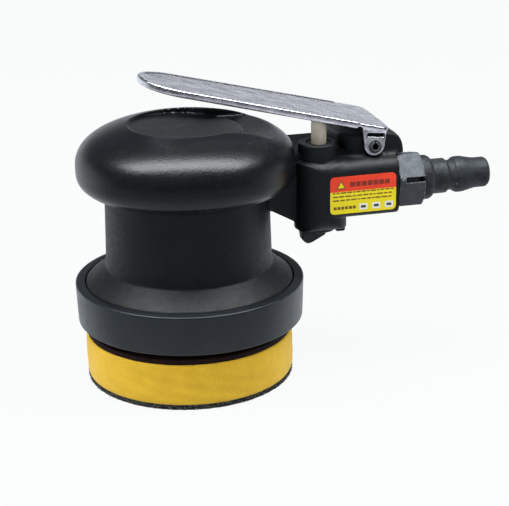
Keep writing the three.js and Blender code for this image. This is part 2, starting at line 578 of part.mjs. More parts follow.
// ---- valve train --------------------------------------------------------
const STEM_BORE = STEM_RADIUS + 0.12;
const RING_GROOVE = STEM_RADIUS + 1.1;
add("valve_bushing", "oxide", lathe([
  [STEM_BORE, 78.1], [6.1, 78.1], [6.1, 79.9], [4.5, 79.9], [4.5, BOSS_TOP - 0.3],
  [STEM_BORE, BOSS_TOP - 0.3], [STEM_BORE, 85.2], [RING_GROOVE, 85.2], [RING_GROOVE, 84.1],
  [STEM_BORE, 84.1],
], ROUND_SMALL, VALVE_X, INLET_Y));
const oRing = (major, minor, z) => toSolid(
  new THREE.TorusGeometry(major, minor, 6, 20).translate(VALVE_X, INLET_Y, z));
add("stem_o_ring", "rubber", oRing(STEM_RADIUS + 0.57, 0.4, 84.65));
add("valve_stem", "ivory", lathe([
  [0, 67.6], [1.2, 67.6], [1.2, STEM_SHOULDER], [STEM_RADIUS, STEM_SHOULDER],
  [STEM_RADIUS, STEM_TOP - 1],
  [2.4, STEM_TOP - 0.4], [1.4, STEM_TOP - 0.1], [0, STEM_TOP],
], ROUND_SMALL, VALVE_X, INLET_Y));
add("valve_seat", "brass", tube(2.3, 6.1, 70, 71.6, VALVE_X, INLET_Y, ROUND_SMALL));
add("valve_disc", "rubber", tube(1.35, 4.6, 68, 69.9, VALVE_X, INLET_Y, ROUND_SMALL));
add("valve_cup", "brass", lathe([
  [0, 66.4], [3.6, 66.4], [3.6, 68], [1.35, 68], [1.35, 67.4], [0, 67.4],
], ROUND_SMALL, VALVE_X, INLET_Y));

class Helix extends THREE.Curve {
  constructor(radius, z0, z1, turns) {
    super();
    Object.assign(this, { radius, z0, z1, turns });
  }
  getPoint(t, target = new THREE.Vector3()) {
    const a = 2 * Math.PI * this.turns * t;
    return target.set(VALVE_X + this.radius * Math.cos(a), INLET_Y + this.radius * Math.sin(a),
      this.z0 + (this.z1 - this.z0) * t);
  }
}
const WIRE = 0.35;
const wire = new THREE.Shape();
wire.absarc(0, 0, WIRE, 0, 2 * Math.PI, false);
add("valve_spring", "steel", toSolid(new THREE.ExtrudeGeometry(wire, {
  steps: 42, curveSegments: 3, bevelEnabled: false,
  extrudePath: new Helix(2.9, 59.3 + WIRE, 66.35 - WIRE, 3.5),
})));

const finSide = polygon([
  [-7.4, 55.7], [1.8, 55.7], [1.9, 53.4], [-3.8, 50.5], [-5.2, 50.3], [-6.8, 51.6],
].map(([x, z]) => [VALVE_X + x, z]));
add("regulator", "oxide", cut(
  union(
    disc(6, 55.2, 59, VALVE_X, INLET_Y, ROUND_SMALL),
    prismY(finSide, INLET_Y - 2.6, INLET_Y + 2.6)),
  tube(5.1, 8, 56.8, 58, VALVE_X, INLET_Y, ROUND_SMALL)));
add("regulator_o_ring", "rubber", oRing(5.66, 0.5, 57.4));

// ---- exhaust ------------------------------------------------------------
add("muffler_insert", "felt", latheX([
  [3.6, 58.5], [9.6, 58.5], [9.6, 78.5], [3.6, 78.5],
], ROUND_SMALL, MUFFLER_Y, MUFFLER_Z));
const capSolid = latheX([
  [0, MUFFLER_END], [MUFFLER_RADIUS, MUFFLER_END], [MUFFLER_RADIUS, CAP_EDGE - 0.6],
  [11.9, CAP_EDGE + 0.9], [9.6, CAP_EDGE + 2.1], [6, CAP_EDGE + 2.8], [0, CAP_DOME],
], ROUND_MEDIUM, MUFFLER_Y, MUFFLER_Z);
const capSlots = [-6, -3, 0, 3, 6].map((z) => box(
  MUFFLER_END - 1, 90, MUFFLER_Y - 5.5, MUFFLER_Y + 5.5,
  MUFFLER_Z + z - 0.6, MUFFLER_Z + z + 0.6));
add("exhaust_cap", "housing", cut(capSolid, ...capSlots, hexClearance));

// ---- lever --------------------------------------------------------------
// Drawn flat as (distance from the rear edge, y), then tilted into place.
function leverOutline(inset) {
  const half = LEVER_REAR_HALF - inset;
  const round = LEVER_TIP_RADIUS - inset;
  const tip = LEVER_LENGTH - LEVER_TIP_RADIUS;
  const rear = inset;
  const corner = 3.4 - inset * 0.5;
  const lean = Math.PI * 0.93;
  const shape = new THREE.Shape();
  shape.moveTo(rear + corner, -half);
  shape.lineTo(tip, -round);
  shape.absarc(tip, 0, round, -Math.PI / 2, Math.PI / 2, false);
  shape.lineTo(rear + corner, half);
  shape.absarc(rear + corner, half - corner, corner, Math.PI / 2, lean, false);
  shape.quadraticCurveTo(rear - 0.9, 0, rear + corner * (1 + Math.cos(lean)),
    -half + corner * (1 - Math.sin(lean)));
  shape.absarc(rear + corner, -half + corner, corner, -lean, -Math.PI / 2, false);
  return shape;
}
const flatSheet = prism(leverOutline(0), LEVER_SHEET, 9).translate([0, 0, -LEVER_SHEET]);
const rimOuter = prism(leverOutline(0), LEVER_RIM, 9).translate([0, 0, -LEVER_RIM]);
const rimInner = prism(leverOutline(LEVER_SHEET), LEVER_RIM, 9).translate([0, 0, -LEVER_RIM - 1]);
const rim = cut(rimOuter, rimInner, box(-5, EAR_END + 1.5, -30, 30, -10, 5));
const leverPlace = (solid) => solid
  .rotate([0, -LEVER_TILT * 180 / Math.PI, 180])
  .translate([LEVER_REAR_X, 0, LEVER_REAR_Z]);
const planeZ = (x) => LEVER_REAR_Z + (LEVER_REAR_X - x) * Math.tan(LEVER_TILT);
const earLeft = LEVER_REAR_X - EAR_END * Math.cos(LEVER_TILT);
const earRight = LEVER_REAR_X - EAR_START * Math.cos(LEVER_TILT);
const EAR_ROUND = 3.9;
const earPoints = [[earLeft, planeZ(earLeft) - 0.7]];
for (let i = 0; i <= 12; i += 1) {
  const a = Math.PI * (1.02 + 0.88 * i / 12);
  earPoints.push([PIVOT_X - 0.2 + EAR_ROUND * Math.cos(a), PIVOT_Z + 0.2 + EAR_ROUND * Math.sin(a)]);
}
earPoints.push([earRight + 1.2, planeZ(earRight + 1.2) - 0.7]);
const half = LEVER_WIDTH / 2;
const earSlot = prismY(roundedBox(-3.5, 3.5, -0.7, 0.7, [0.65, 0.65, 0.65, 0.65]), -2, 2, 3)
  .rotate([0, 7, 0]).translate([69, 0, 91.5]);
const ears = [-half, half - LEVER_SHEET].map((y0) => cut(
  prismY(polygon(earPoints), y0, y0 + LEVER_SHEET),
  earSlot.translate([0, y0 + LEVER_SHEET / 2, 0]),
  disc(PIN_RADIUS + 0.12, -2, 2, 0, 0, ROUND_TINY).rotate([90, 0, 0])
    .translate([PIVOT_X, y0 + LEVER_SHEET / 2, PIVOT_Z])));
add("lever", "chrome", union(leverPlace(flatSheet), leverPlace(rim), ...ears));
add("lever_pin", "steel", tube(1.25, PIN_RADIUS, -half - 0.5, half + 0.5, 0, 0, ROUND_TINY)
  .rotate([90, 0, 0]).translate([PIVOT_X, 0, PIVOT_Z]));

// ---- label --------------------------------------------------------------
add("label", "label", prismY(
  roundedBox(49.7, 75.4, 63.6, 78, [1.6, 1.6, 1.6, 1.6]), inletNear - 0.2, inletNear, 4));

export default group;
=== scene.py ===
"""The looks of the air orbital sander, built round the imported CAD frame.

Shapes are worked out in millimetres, in the CAD's own frame, and turned into metres when a mesh
is made. Cast, moulded and pressed pieces are distance fields meshed by surface_net(); turned
pieces are rounded profiles spun by turned().
"""
import math

import bmesh
import bpy
import numpy as np
from mathutils import Matrix, Vector


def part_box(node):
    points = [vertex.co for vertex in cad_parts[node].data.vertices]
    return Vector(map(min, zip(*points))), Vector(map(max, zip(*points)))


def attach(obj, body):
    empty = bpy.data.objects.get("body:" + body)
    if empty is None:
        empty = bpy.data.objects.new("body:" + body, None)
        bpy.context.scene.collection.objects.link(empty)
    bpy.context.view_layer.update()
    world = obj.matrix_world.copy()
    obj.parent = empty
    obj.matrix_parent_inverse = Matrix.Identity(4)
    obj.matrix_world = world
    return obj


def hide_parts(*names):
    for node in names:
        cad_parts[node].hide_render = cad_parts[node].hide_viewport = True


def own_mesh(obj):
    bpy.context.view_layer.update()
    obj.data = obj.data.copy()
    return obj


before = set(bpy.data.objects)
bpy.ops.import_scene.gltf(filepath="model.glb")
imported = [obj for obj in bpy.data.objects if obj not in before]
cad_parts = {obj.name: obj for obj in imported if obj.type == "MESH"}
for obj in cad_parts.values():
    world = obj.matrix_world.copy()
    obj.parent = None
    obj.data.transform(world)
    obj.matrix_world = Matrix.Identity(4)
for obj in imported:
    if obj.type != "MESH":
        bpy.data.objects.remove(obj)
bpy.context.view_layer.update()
MM = 0.001
EPS = 1e-9
UPWARD = np.array([0, 0, 1])
SMOOTH_ANGLE = math.radians(35)
BLOCK = 8                # cells along a side of a block in sampled()
BLOCK_REACH = 1.4        # blocks whose middle is nearer the surface, in block sides, are sampled


def mm_box(node):
    """A CAD node's lowest and highest corners in millimetres."""
    low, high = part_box(node)
    return np.array(low) / MM, np.array(high) / MM


# ---- places, taken from the frame ---------------------------------------
HOOK_LOW, HOOK_HIGH = mm_box("hook_layer")
FOAM_LOW, FOAM_HIGH = mm_box("foam_pad")
PLATE_LOW, PLATE_HIGH = mm_box("backing_plate")
SHROUD_LOW, SHROUD_HIGH = mm_box("shroud")
GRIP_LOW, GRIP_HIGH = mm_box("rubber_grip")
HOUSING_LOW, HOUSING_HIGH = mm_box("housing")
HEX_LOW, HEX_HIGH = mm_box("inlet_bushing")
PLUG_LOW, PLUG_HIGH = mm_box("quick_plug")
STEM_LOW, STEM_HIGH = mm_box("valve_stem")
BUSH_LOW, BUSH_HIGH = mm_box("valve_bushing")
REGULATOR_LOW, REGULATOR_HIGH = mm_box("regulator")
CAP_LOW, CAP_HIGH = mm_box("exhaust_cap")
LABEL_LOW, LABEL_HIGH = mm_box("label")
COIL_LOW, COIL_HIGH = mm_box("valve_spring")
PIN_LOW, PIN_HIGH = mm_box("lever_pin")

PAD_CENTRE = (FOAM_LOW + FOAM_HIGH) / 2
STEM_X, STEM_Y = (STEM_LOW[:2] + STEM_HIGH[:2]) / 2
INLET_Y, INLET_Z = (PLUG_LOW[1:] + PLUG_HIGH[1:]) / 2
PIVOT_X, PIVOT_Z = (PIN_LOW[[0, 2]] + PIN_HIGH[[0, 2]]) / 2

# ---- sizes of the looks, in millimetres ---------------------------------
NECK_LOW_RADIUS = 31.6
NECK_LOW_Z = 44.4
NECK_HIGH_RADIUS = 30.9
NECK_HEIGHT = 28.0
FOOT_RADIUS = 39.6
FOOT_CONE_RADIUS = 32.2   # where the foot's cone meets the neck
FOOT_CONE_Z = 43.1
SKIRT_BORE = 40.4
SKIRT_LOW_RADIUS = 43.0
SKIRT_HIGH_RADIUS = 43.55
FOOT_SHELF_Z = SHROUD_HIGH[2]
FOOT_BOTTOM = 30.3
HEAD_RADIUS = (GRIP_HIGH[1] - GRIP_LOW[1]) / 2
HEAD_EQUATOR_Z = 82.6
HEAD_RISE = 17.0         # the head's superellipse above its equator, and its power
HEAD_RISE_POWER = 2.4
HEAD_DROP = 12.1         # the same below
HEAD_DROP_POWER = 3.27
CORE_INSET = 4.95        # how far the casting's core lies inside the head's form
GRIP_INSET = 4.85        # the same for the rubber's hollow
CREASE_Z = 75.4          # the fine moulding line round the grip
CORE_TOP = 92.0
DISH_RADIUS = 21.1
DISH_HIGH = 97.5         # the dish floor slopes down from the left to the inlet side
DISH_LOW = 95.1
CHANNEL_FLOOR = 94.2
CHANNEL_HALF = 17.9
VALVE_X = 48.8
VALVE_RADIUS = 9.9
BOSS_X = 47.9
BOSS_RADIUS = 7.3
BLOCK_LEFT = 56.0
BLOCK_HALF = 14.6
BLOCK_TOP = 91.6
INLET_HALF = 10.2
INLET_BOTTOM = 61.3
INLET_TOP = 83.0
INLET_END = 77.0         # where the hexagon starts
MUFFLER_RADIUS = 12.6
MUFFLER_Y = CAP_HIGH[1] - MUFFLER_RADIUS
MUFFLER_Z = CAP_HIGH[2] - MUFFLER_RADIUS
BLOCK_RIGHT = CAP_LOW[0]
LEVER_TILT = math.radians(14.1)
LEVER_SIN = math.sin(LEVER_TILT)
LEVER_COS = math.cos(LEVER_TILT)
LEVER_REAR_X = 74.6
LEVER_REAR_Z = 93.7
LEVER_LENGTH = 94.0
LEVER_REAR_HALF = 16.9
LEVER_TIP_RADIUS = 14.9
LEVER_CORNER = 4.0
LEVER_BOW = 0.41         # how far the rear edge bows out at its middle
EAR_OUTSIDE = PIN_HIGH[1] - 0.5
SHEET = 1.5
RIM_DEPTH = 2.4
EAR_START = 2.4
EAR_END = 11.2
EAR_ROUND = 3.9
EAR_INSIDE = 14          # slot and pin hole are cut beyond this only
EAR_SLOT_X = 69          # the middle of the slot in each ear
EAR_SLOT_Z = 91.5
EAR_SLOT_TILT = math.radians(7.5)
EAR_SLOT_HALF = 2.8
EAR_SLOT_RADIUS = 0.72
PIN_BORE = 2.3
PIN_OUTER = 2.15
PIN_INNER = 1.25
BOSS_TOP = BUSH_HIGH[2] + 0.3
HEX_CORNER = 11.4
HEX_TURN = math.radians(-14)
HEX_SLOT_HALF = 0.95
HEX_SLOT_DEPTH = 4.8
HEX_SLOT_LENGTH = 8.0
HEX_FIT = 12.1           # clearance round the hexagon's corners
STUB_START = 62          # the hexagon's threaded stub, and the bore that steps through both
STUB_RADIUS = 7.3
STUB_BORE = 4.6
MOUTH_BORE = 5.6
CAP_RISE = 6.9           # the exhaust cover's dome
CAP_DOME_RADIUS = 35.6
CAP_DOME_BACK = 28.6     # how far its centre lies behind the cover
CAP_SLOTS = (-6, -3, 0, 3, 6)
FOAM_RECESS_RADIUS = 9.4
FOAM_RECESS_DEPTH = 2.8
COIL_WIRE = 0.35         # half the valve spring's wire
COIL_TURNS = 4.5
COIL_FLAT_TURNS = 0.6    # wound flat at each end
COIL_STEPS = 180
COIL_SIDES = 12
FIBRES = 2600
PAD_SEGMENTS = 160
BODY_STEP = 0.42         # grid steps of the large and the small meshes
SMALL_STEP = 0.22
MERGE_SHARE = 0.12       # points nearer than this share of a step are joined

# ---- the view and the light ---------------------------------------------
VIEW_TURN = 14.0
VIEW_DOWN = 19.8
VIEW_ROLL = -1.03
VIEW_AIM_Z = 50.0
VIEW_SIDE = 25.0
VIEW_LIFT = -3.26
VIEW_FAR = 608.1
VIEW_LENS = 113.16
FLOOR_HALF = 6000
FLOOR_GLOW = 0.944
FLOOR_TONE = 0.015
WALL_RADIUS = 5500       # the pale backdrop round the floor
WALL_HEIGHT = 4000
WALL_SIDES = 96
BACK_GLOW = 1.0          # the pale surroundings behind and at the sides
GROUND_GLOW = 0.8        # straight below
ROOM_GLOW = 0.05         # the dark room in front and above


# ---- distance fields ----------------------------------------------------
def smooth_min(a, b, k):
    h = np.clip(0.5 + 0.5 * (b - a) / k, 0, 1)
    return b + (a - b) * h - k * h * (1 - h)


def smooth_max(a, b, k):
    return -smooth_min(-a, -b, k)


def join(k, *fields):
    total = fields[0]
    for f in fields[1:]:
        total = smooth_min(total, f, k)
    return total


def carve(k, solid, *holes):
    for hole in holes:
        solid = smooth_max(solid, -hole, k)
    return solid


def cylinder(a, b, along, radius, low, high, edge=0.5):
    """A rounded cylinder; a and b run across its axis, measured from it."""
    out = np.hypot(a, b) - radius + edge
    over = between(along, low, high) + edge
    outside = np.hypot(np.maximum(out, 0), np.maximum(over, 0))
    return outside + np.minimum(np.maximum(out, over), 0) - edge


def slab(p, low, high, edge=0.5):
    """A rounded box between two corners."""
    d = [between(p[i], low[i], high[i]) + edge for i in range(3)]
    outside = np.sqrt(sum(np.maximum(v, 0) ** 2 for v in d))
    return outside + np.minimum(np.maximum(np.maximum(d[0], d[1]), d[2]), 0) - edge


def outline(a, b, corners, edge=0.5):
    """Distance to a convex outline with anticlockwise corners, its corners rounded by edge."""
    worst = None
    count = len(corners)
    for i in range(count):
        (ax, ay), (bx, by) = corners[i], corners[(i + 1) % count]
        length = math.hypot(bx - ax, by - ay)
        side = ((a - ax) * (by - ay) - (b - ay) * (bx - ax)) / length
        worst = side if worst is None else smooth_max(worst, side, edge)
    return worst


def between(value, low, high):
    return np.abs(value - (low + high) / 2) - (high - low) / 2


def limit(solid, value, low, high, k):
    """The part of a solid where the value lies between low and high."""
    return smooth_max(solid, between(value, low, high), k)


def sampled(field, low, size, step):
    """The field on a grid. Blocks of cells far from the surface keep the value at their middle."""
    blocks = -(-size // BLOCK)
    middle = [low[i] + step * (BLOCK * np.arange(blocks[i]) + (BLOCK - 1) / 2) for i in range(3)]
    coarse = field(np.meshgrid(*middle, indexing="ij"))
    value = coarse.repeat(BLOCK, 0).repeat(BLOCK, 1).repeat(BLOCK, 2)
    near = np.argwhere(np.abs(coarse) < step * BLOCK * BLOCK_REACH)
    offsets = np.indices((BLOCK,) * 3).reshape(3, -1).T
    for part in np.array_split(near, max(1, len(near) // 400)):
        index = part[:, None, :] * BLOCK + offsets
        place = low + index * step
        value[tuple(np.moveaxis(index, -1, 0))] = field([place[..., i] for i in range(3)])
    return value[tuple(slice(0, n) for n in size)]


def surface_net(field, low, high, step):
    """Vertices and quads of the surface where field(p) is 0, inside a box, on a grid of that step."""
    low = np.array(low, float)
    size = np.ceil((np.array(high) - low) / step).astype(int) + 1
    value = sampled(field, low, size, step)
    inside = value < 0
    corners = [(i, j, k) for i in (0, 1) for j in (0, 1) for k in (0, 1)]
    filled = sum(inside[tuple(slice(c, c + n - 1) for c, n in zip(corner, size))].astype(np.int8)
                 for corner in corners)
    active = (filled > 0) & (filled < len(corners))
    cell = np.argwhere(active)
    number = np.full(active.shape, -1)
    number[active] = np.arange(len(cell))
    total = np.zeros((len(cell), 3))
    crossings = np.zeros(len(cell))
    for a in corners:
        for axis in range(3):
            if a[axis] == 0:
                va = value[tuple((cell + a).T)]
                b = np.array(a) + np.eye(3, dtype=int)[axis]
                vb = value[tuple((cell + b).T)]
                cross = (va < 0) != (vb < 0)
                share = np.where(cross, va / np.where(cross, va - vb, 1), 0)
                place = np.array(a) + share[:, None] * np.eye(3)[axis]
                total += place * cross[:, None]
                crossings += cross
    points = (cell + total / crossings[:, None]) * step + low
    faces = []
    for axis in range(3):
        u, v = (axis + 1) % 3, (axis + 2) % 3
        first = inside[tuple(slice(0, -1) if i == axis else slice(1, -1) for i in range(3))]
        second = inside[tuple(slice(1, None) if i == axis else slice(1, -1) for i in range(3))]
        base = np.argwhere(first != second)
        leaving = first[first != second]
        base[:, u] += 1
        base[:, v] += 1
        quad = []
        for du, dv in ((0, 0), (-1, 0), (-1, -1), (0, -1)):
            corner = base.copy()
            corner[:, u] += du
            corner[:, v] += dv
            quad.append(number[tuple(corner.T)])
        quad = np.stack(quad, 1)
        quad[~leaving] = quad[~leaving][:, ::-1]
        faces.append(quad)
    return settle(field, points, step), np.concatenate(faces)


def settle(field, points, step):
    """Moves points onto the surface along the field's slope."""
    h = 0.02
    for _ in range(3):
        p = [points[:, i] for i in range(3)]
        value = field(p)
        slope = np.empty_like(points)
        for i in range(3):
            ahead = [c + h * (j == i) for j, c in enumerate(p)]
            back = [c - h * (j == i) for j, c in enumerate(p)]
            slope[:, i] = (field(ahead) - field(back)) / (2 * h)
        size = np.maximum((slope ** 2).sum(1), 0.04)
        move = slope * (value / size)[:, None]
        length = np.linalg.norm(move, axis=1)
        move *= np.minimum(1, 0.4 * step / np.maximum(length, EPS))[:, None]
        points = points - move
    return points


# ---- mesh making --------------------------------------------------------
def new_object(name, points_mm, faces, smooth=True):
    mesh = bpy.data.meshes.new(name)
    mesh.from_pydata(np.asarray(points_mm) * MM, [], [tuple(f) for f in np.asarray(faces).tolist()]
                     if isinstance(faces, np.ndarray) else faces)
    mesh.update()
    obj = bpy.data.objects.new(name, mesh)
    bpy.context.scene.collection.objects.link(obj)
    if smooth:
        mesh.shade_smooth()
        mesh.set_sharp_from_angle(angle=SMOOTH_ANGLE)
    return obj


def netted(name, field, low, high, step):
    points, faces = surface_net(field, np.array(low, float), np.array(high, float), step)
    obj = new_object(name, points, faces)
    join_close(obj, step * MERGE_SHARE * MM)
    return obj


def join_close(obj, reach):
    """Joins points that nearly touch, so that no sliver of a face is left."""
    mesh = bmesh.new()
    mesh.from_mesh(obj.data)
    bmesh.ops.remove_doubles(mesh, verts=mesh.verts, dist=reach)
    mesh.to_mesh(obj.data)
    mesh.free()


def rounded(profile, radius=0.4, steps=4):
    """The profile with its corners replaced by short arcs; a corner may carry its own radius."""
    result = []
    count = len(profile)
    for i, corner in enumerate(profile):
        own = corner[2] if len(corner) > 2 else radius
        here = np.array(corner[:2], float)
        if own <= 0:
            result.append(tuple(here))
            continue
        before = np.array(profile[i - 1][:2], float) - here
        after = np.array(profile[(i + 1) % count][:2], float) - here
        la, lb = np.linalg.norm(before), np.linalg.norm(after)
        cut = min(own, 0.45 * la, 0.45 * lb)
        start, end = here + before / la * cut, here + after / lb * cut
        for t in np.linspace(0, 1, steps + 1):
            point = (1 - t) ** 2 * start + 2 * t * (1 - t) * here + t ** 2 * end
            result.append(tuple(point))
    return result


def turned(name, profile, centre=(0, 0), segments=128, axis="z", ripple=None):
    """A closed profile of (radius, place along the axis) spun round the axis through centre.
    Points with radius 0 close on the axis. ripple(angle, radius, along) shifts the radius."""
    angles = np.linspace(0, 2 * math.pi, segments, endpoint=False)
    points = []
    rings = []
    for radius, along in profile:
        sweep = angles if radius > EPS else angles[:1]
        rings.append(range(len(points), len(points) + len(sweep)))
        for a in sweep:
            r = radius + (ripple(a, radius, along) if ripple else 0)
            points.append((r * math.cos(a), r * math.sin(a), along))
    faces = []
    for i in range(len(rings)):
        low, high = rings[i], rings[(i + 1) % len(rings)]
        if len(low) == 1 and len(high) == 1:
            continue
        for j in range(segments):
            k = (j + 1) % segments
            if len(low) == 1:
                faces.append((low[0], high[k], high[j]))
            elif len(high) == 1:
                faces.append((low[j], low[k], high[0]))
            else:
                faces.append((low[j], low[k], high[k], high[j]))
    points = np.array(points)
    if axis == "x":
        points = points[:, [2, 0, 1]] + (0, centre[0], centre[1])
    else:
        points = points + (centre[0], centre[1], 0)
    return face_out(new_object(name, points, faces))


def ring_faces(rings, sides):
    """Quads that join each ring of points to the next."""
    faces = []
    for i in range(0, (rings - 1) * sides, sides):
        for j in range(sides):
            k = (j + 1) % sides
            faces.append((i + j, i + k, i + sides + k, i + sides + j))
    return faces


def face_out(obj):
    """Turns a closed mesh's faces outwards."""
    mesh = obj.data
    co = np.array([v.co for v in mesh.vertices])
    mesh.calc_loop_triangles()
    t = np.array([tri.vertices for tri in mesh.loop_triangles])
    volume = np.einsum("ij,ij->i", co[t[:, 0]], np.cross(co[t[:, 1]], co[t[:, 2]])).sum()
    if volume < 0:
        mesh.flip_normals()
    return obj


# ---- materials ----------------------------------------------------------
class Nodes:
    """Shader nodes and the sums that join them."""

    def __init__(self, tree):
        self.tree = tree

    def add(self, kind, sockets=None, **settings):
        """A node with its settings, and with numbers or links fed to its sockets."""
        node = self.tree.nodes.new(kind)
        for key, value in settings.items():
            setattr(node, key, value)
        for key, value in (sockets or {}).items():
            self.feed(node.inputs[key], value)
        return node

    def feed(self, socket, value):
        if isinstance(value, bpy.types.NodeSocket):
            self.tree.links.new(value, socket)
        else:
            socket.default_value = value

    def span(self, value, low, high, to_low=0.0, to_high=1.0):
        sockets = {"Value": value, "From Min": low, "From Max": high,
                   "To Min": to_low, "To Max": to_high}
        return self.add("ShaderNodeMapRange", sockets).outputs["Result"]

    def sum(self, a, b, operation="ADD"):
        return self.add("ShaderNodeMath", {0: a, 1: b}, operation=operation).outputs[0]

    def blend(self, share, a, b):
        sockets = {"Factor": share, 6: a, 7: b}
        return self.add("ShaderNodeMix", sockets, data_type="RGBA").outputs[2]


class Paint(Nodes):
    """One procedural material: a Principled shader and the texture nodes that drive it."""

    def __init__(self, name, metallic=0.0, roughness=0.5, specular=0.5):
        self.material = bpy.data.materials.new(name)
        self.material.use_nodes = True
        super().__init__(self.material.node_tree)
        self.shader = next(n for n in self.tree.nodes if n.type == "BSDF_PRINCIPLED")
        self.set("Metallic", metallic)
        self.set("Roughness", roughness)
        self.set("Specular IOR Level", specular)
        self.place = self.add("ShaderNodeTexCoord").outputs["Object"]
        self.normal = None

    def set(self, key, value):
        self.feed(self.shader.inputs[key], value)

    def stretched(self, sx, sy, sz):
        sockets = {"Vector": self.place, "Scale": (sx, sy, sz)}
        return self.add("ShaderNodeMapping", sockets).outputs["Vector"]

    def noise(self, size_mm, detail=3.0, roughness=0.55, place=None):
        """Soft noise from 0 to 1 whose lumps are about size_mm across."""
        sockets = {"Vector": place or self.place, "Scale": 1 / (size_mm * MM), "Detail": detail,
                   "Roughness": roughness}
        return self.add("ShaderNodeTexNoise", sockets).outputs["Fac"]

    def cells(self, size_mm):
        """Distance to the nearest of points scattered about size_mm apart."""
        sockets = {"Vector": self.place, "Scale": 1 / (size_mm * MM)}
        return self.add("ShaderNodeTexVoronoi", sockets).outputs["Distance"]

    def edges(self):
        """Raised edges are above 0.5, hollows below."""
        return self.add("ShaderNodeNewGeometry").outputs["Pointiness"]

    def along(self, axis):
        """The place along one axis, in metres."""
        return self.add("ShaderNodeSeparateXYZ", {0: self.place}).outputs[axis]

    def patches(self, size_mm, detail, low, high, dark, light):
        """Two colours in soft patches; the noise passes from one to the other between low and high."""
        return self.blend(self.span(self.noise(size_mm, detail), low, high), dark, light)

    def colour(self, value):
        self.set("Base Color", value)

    def gloss(self, size_mm, detail, low, high):
        """Roughness that wanders from low to high."""
        self.set("Roughness", self.span(self.noise(size_mm, detail), 0.3, 0.7, low, high))

    def bump(self, height, depth_mm, strength=1.0):
        """Relief on top of whatever relief there is."""
        sockets = {"Height": height, "Distance": depth_mm * MM, "Strength": strength}
        if self.normal is not None:
            sockets["Normal"] = self.normal
        self.normal = self.add("ShaderNodeBump", sockets).outputs["Normal"]
        self.set("Normal", self.normal)


def rgb(r, g, b):
    """A linear colour from sRGB numbers out of 255."""
    def linear(c):
        c /= 255
        return c / 12.92 if c <= 0.04045 else ((c + 0.055) / 1.055) ** 2.4
    return (linear(r), linear(g), linear(b), 1)


def housing_paint():
    """Painted casting: fine grain, slow colour change and dull rubbed patches."""
    p = Paint("cast_black", specular=0.34)
    tone = p.patches(9, 4, 0.35, 0.65, rgb(11, 14, 16), rgb(16, 20, 22))
    p.colour(p.patches(1.4, 4, 0.66, 0.8, tone, rgb(34, 37, 40)))
    p.gloss(2.2, 3, 0.45, 0.57)
    p.bump(p.noise(0.8, 2), 0.1)
    return p.material


def grip_paint():
    p = Paint("grip_rubber", specular=0.4)
    tone = p.patches(14, 3, 0.35, 0.65, rgb(10, 12, 15), rgb(15, 17, 20))
    dust = p.span(p.noise(0.7, 2), 0.62, 0.8)
    p.colour(p.blend(dust, tone, rgb(30, 32, 35)))
    p.gloss(3, 3, 0.27, 0.33)
    p.bump(p.noise(0.9, 2), 0.07)
    return p.material


def shroud_paint():
    p = Paint("shroud_plastic", specular=0.55)
    tone = p.patches(11, 3, 0.35, 0.65, rgb(19, 24, 29), rgb(25, 30, 35))
    p.colour(tone)
    p.gloss(4, 3, 0.32, 0.42)
    p.bump(p.noise(0.4, 2), 0.02)
    p.bump(p.noise(0.9, 2, place=p.stretched(1, 1, 0.15)), 0.012)
    return p.material


def foam_paint():
    p = Paint("pad_foam", roughness=0.85, specular=0.3)
    tone = p.patches(6, 5, 0.3, 0.7, rgb(203, 162, 36), rgb(212, 172, 43))
    skin = p.patches(1.3, 3, 0.58, 0.75, tone, rgb(200, 158, 40))
    pores = p.cells(0.55)
    # Painted shade: the yellow deepens and darkens at the pores' pits, where the bump below sinks.
    p.colour(p.blend(p.span(pores, 0.0, 0.22, 0.55, 0.0), skin, rgb(150, 108, 20)))
    p.gloss(2, 2, 0.78, 0.92)
    p.bump(pores, 0.12, 0.7)
    p.bump(p.noise(2.4, 3), 0.18)
    p.set("Sheen Weight", 0.15)
    return p.material


def hook_paint():
    p = Paint("hook_black", roughness=0.9, specular=0.25)
    p.colour(p.patches(0.7, 3, 0.44, 0.64, rgb(18, 19, 20), rgb(88, 90, 86)))
    p.gloss(1, 2, 0.8, 0.98)
    p.bump(p.cells(0.6), 0.3)
    return p.material


def plate_paint():
    p = Paint("plate_fibre", roughness=0.8, specular=0.2)
    p.colour(p.patches(1.8, 4, 0.3, 0.7, rgb(20, 10, 10), rgb(32, 18, 17)))
    p.gloss(1, 2, 0.72, 0.88)
    p.bump(p.noise(0.5, 3, place=p.stretched(1, 1, 5)), 0.06)
    return p.material


def metal_paint(name, dark, light, roughness, scratch_mm=0.25, depth_mm=0.01):
    """Turned or ground metal: stretched tool marks, patches of tone and uneven gloss."""
    p = Paint(name, metallic=1.0)
    p.colour(p.patches(3.5, 4, 0.3, 0.7, dark, light))
    p.gloss(1.5, 4, *roughness)
    p.bump(p.noise(scratch_mm, 2, place=p.stretched(1, 1, 8)), depth_mm)
    return p.material


def chrome_paint():
    """Plated pressed sheet: slow waves, an orange-peel skin, fine pits and cloudy patches."""
    p = Paint("lever_chrome", metallic=1.0)
    cloud = p.noise(4.5, 5, 0.65)
    tone = p.blend(p.span(cloud, 0.36, 0.62), rgb(212, 211, 220), rgb(246, 245, 252))
    streak = p.noise(2.2, 4, 0.7, place=p.stretched(0.25, 1, 1))
    p.colour(p.blend(p.span(streak, 0.58, 0.72), tone, rgb(240, 240, 242)))
    worn = p.span(p.edges(), 0.52, 0.6, 0.0, 0.18)
    p.set("Roughness", p.sum(p.span(p.noise(1.6, 4, 0.7), 0.35, 0.65, 0.2, 0.4), worn))
    p.bump(p.noise(7, 2), 0.34)
    p.bump(p.noise(1.1, 3), 0.02)
    p.bump(p.cells(0.8), 0.012)
    return p.material


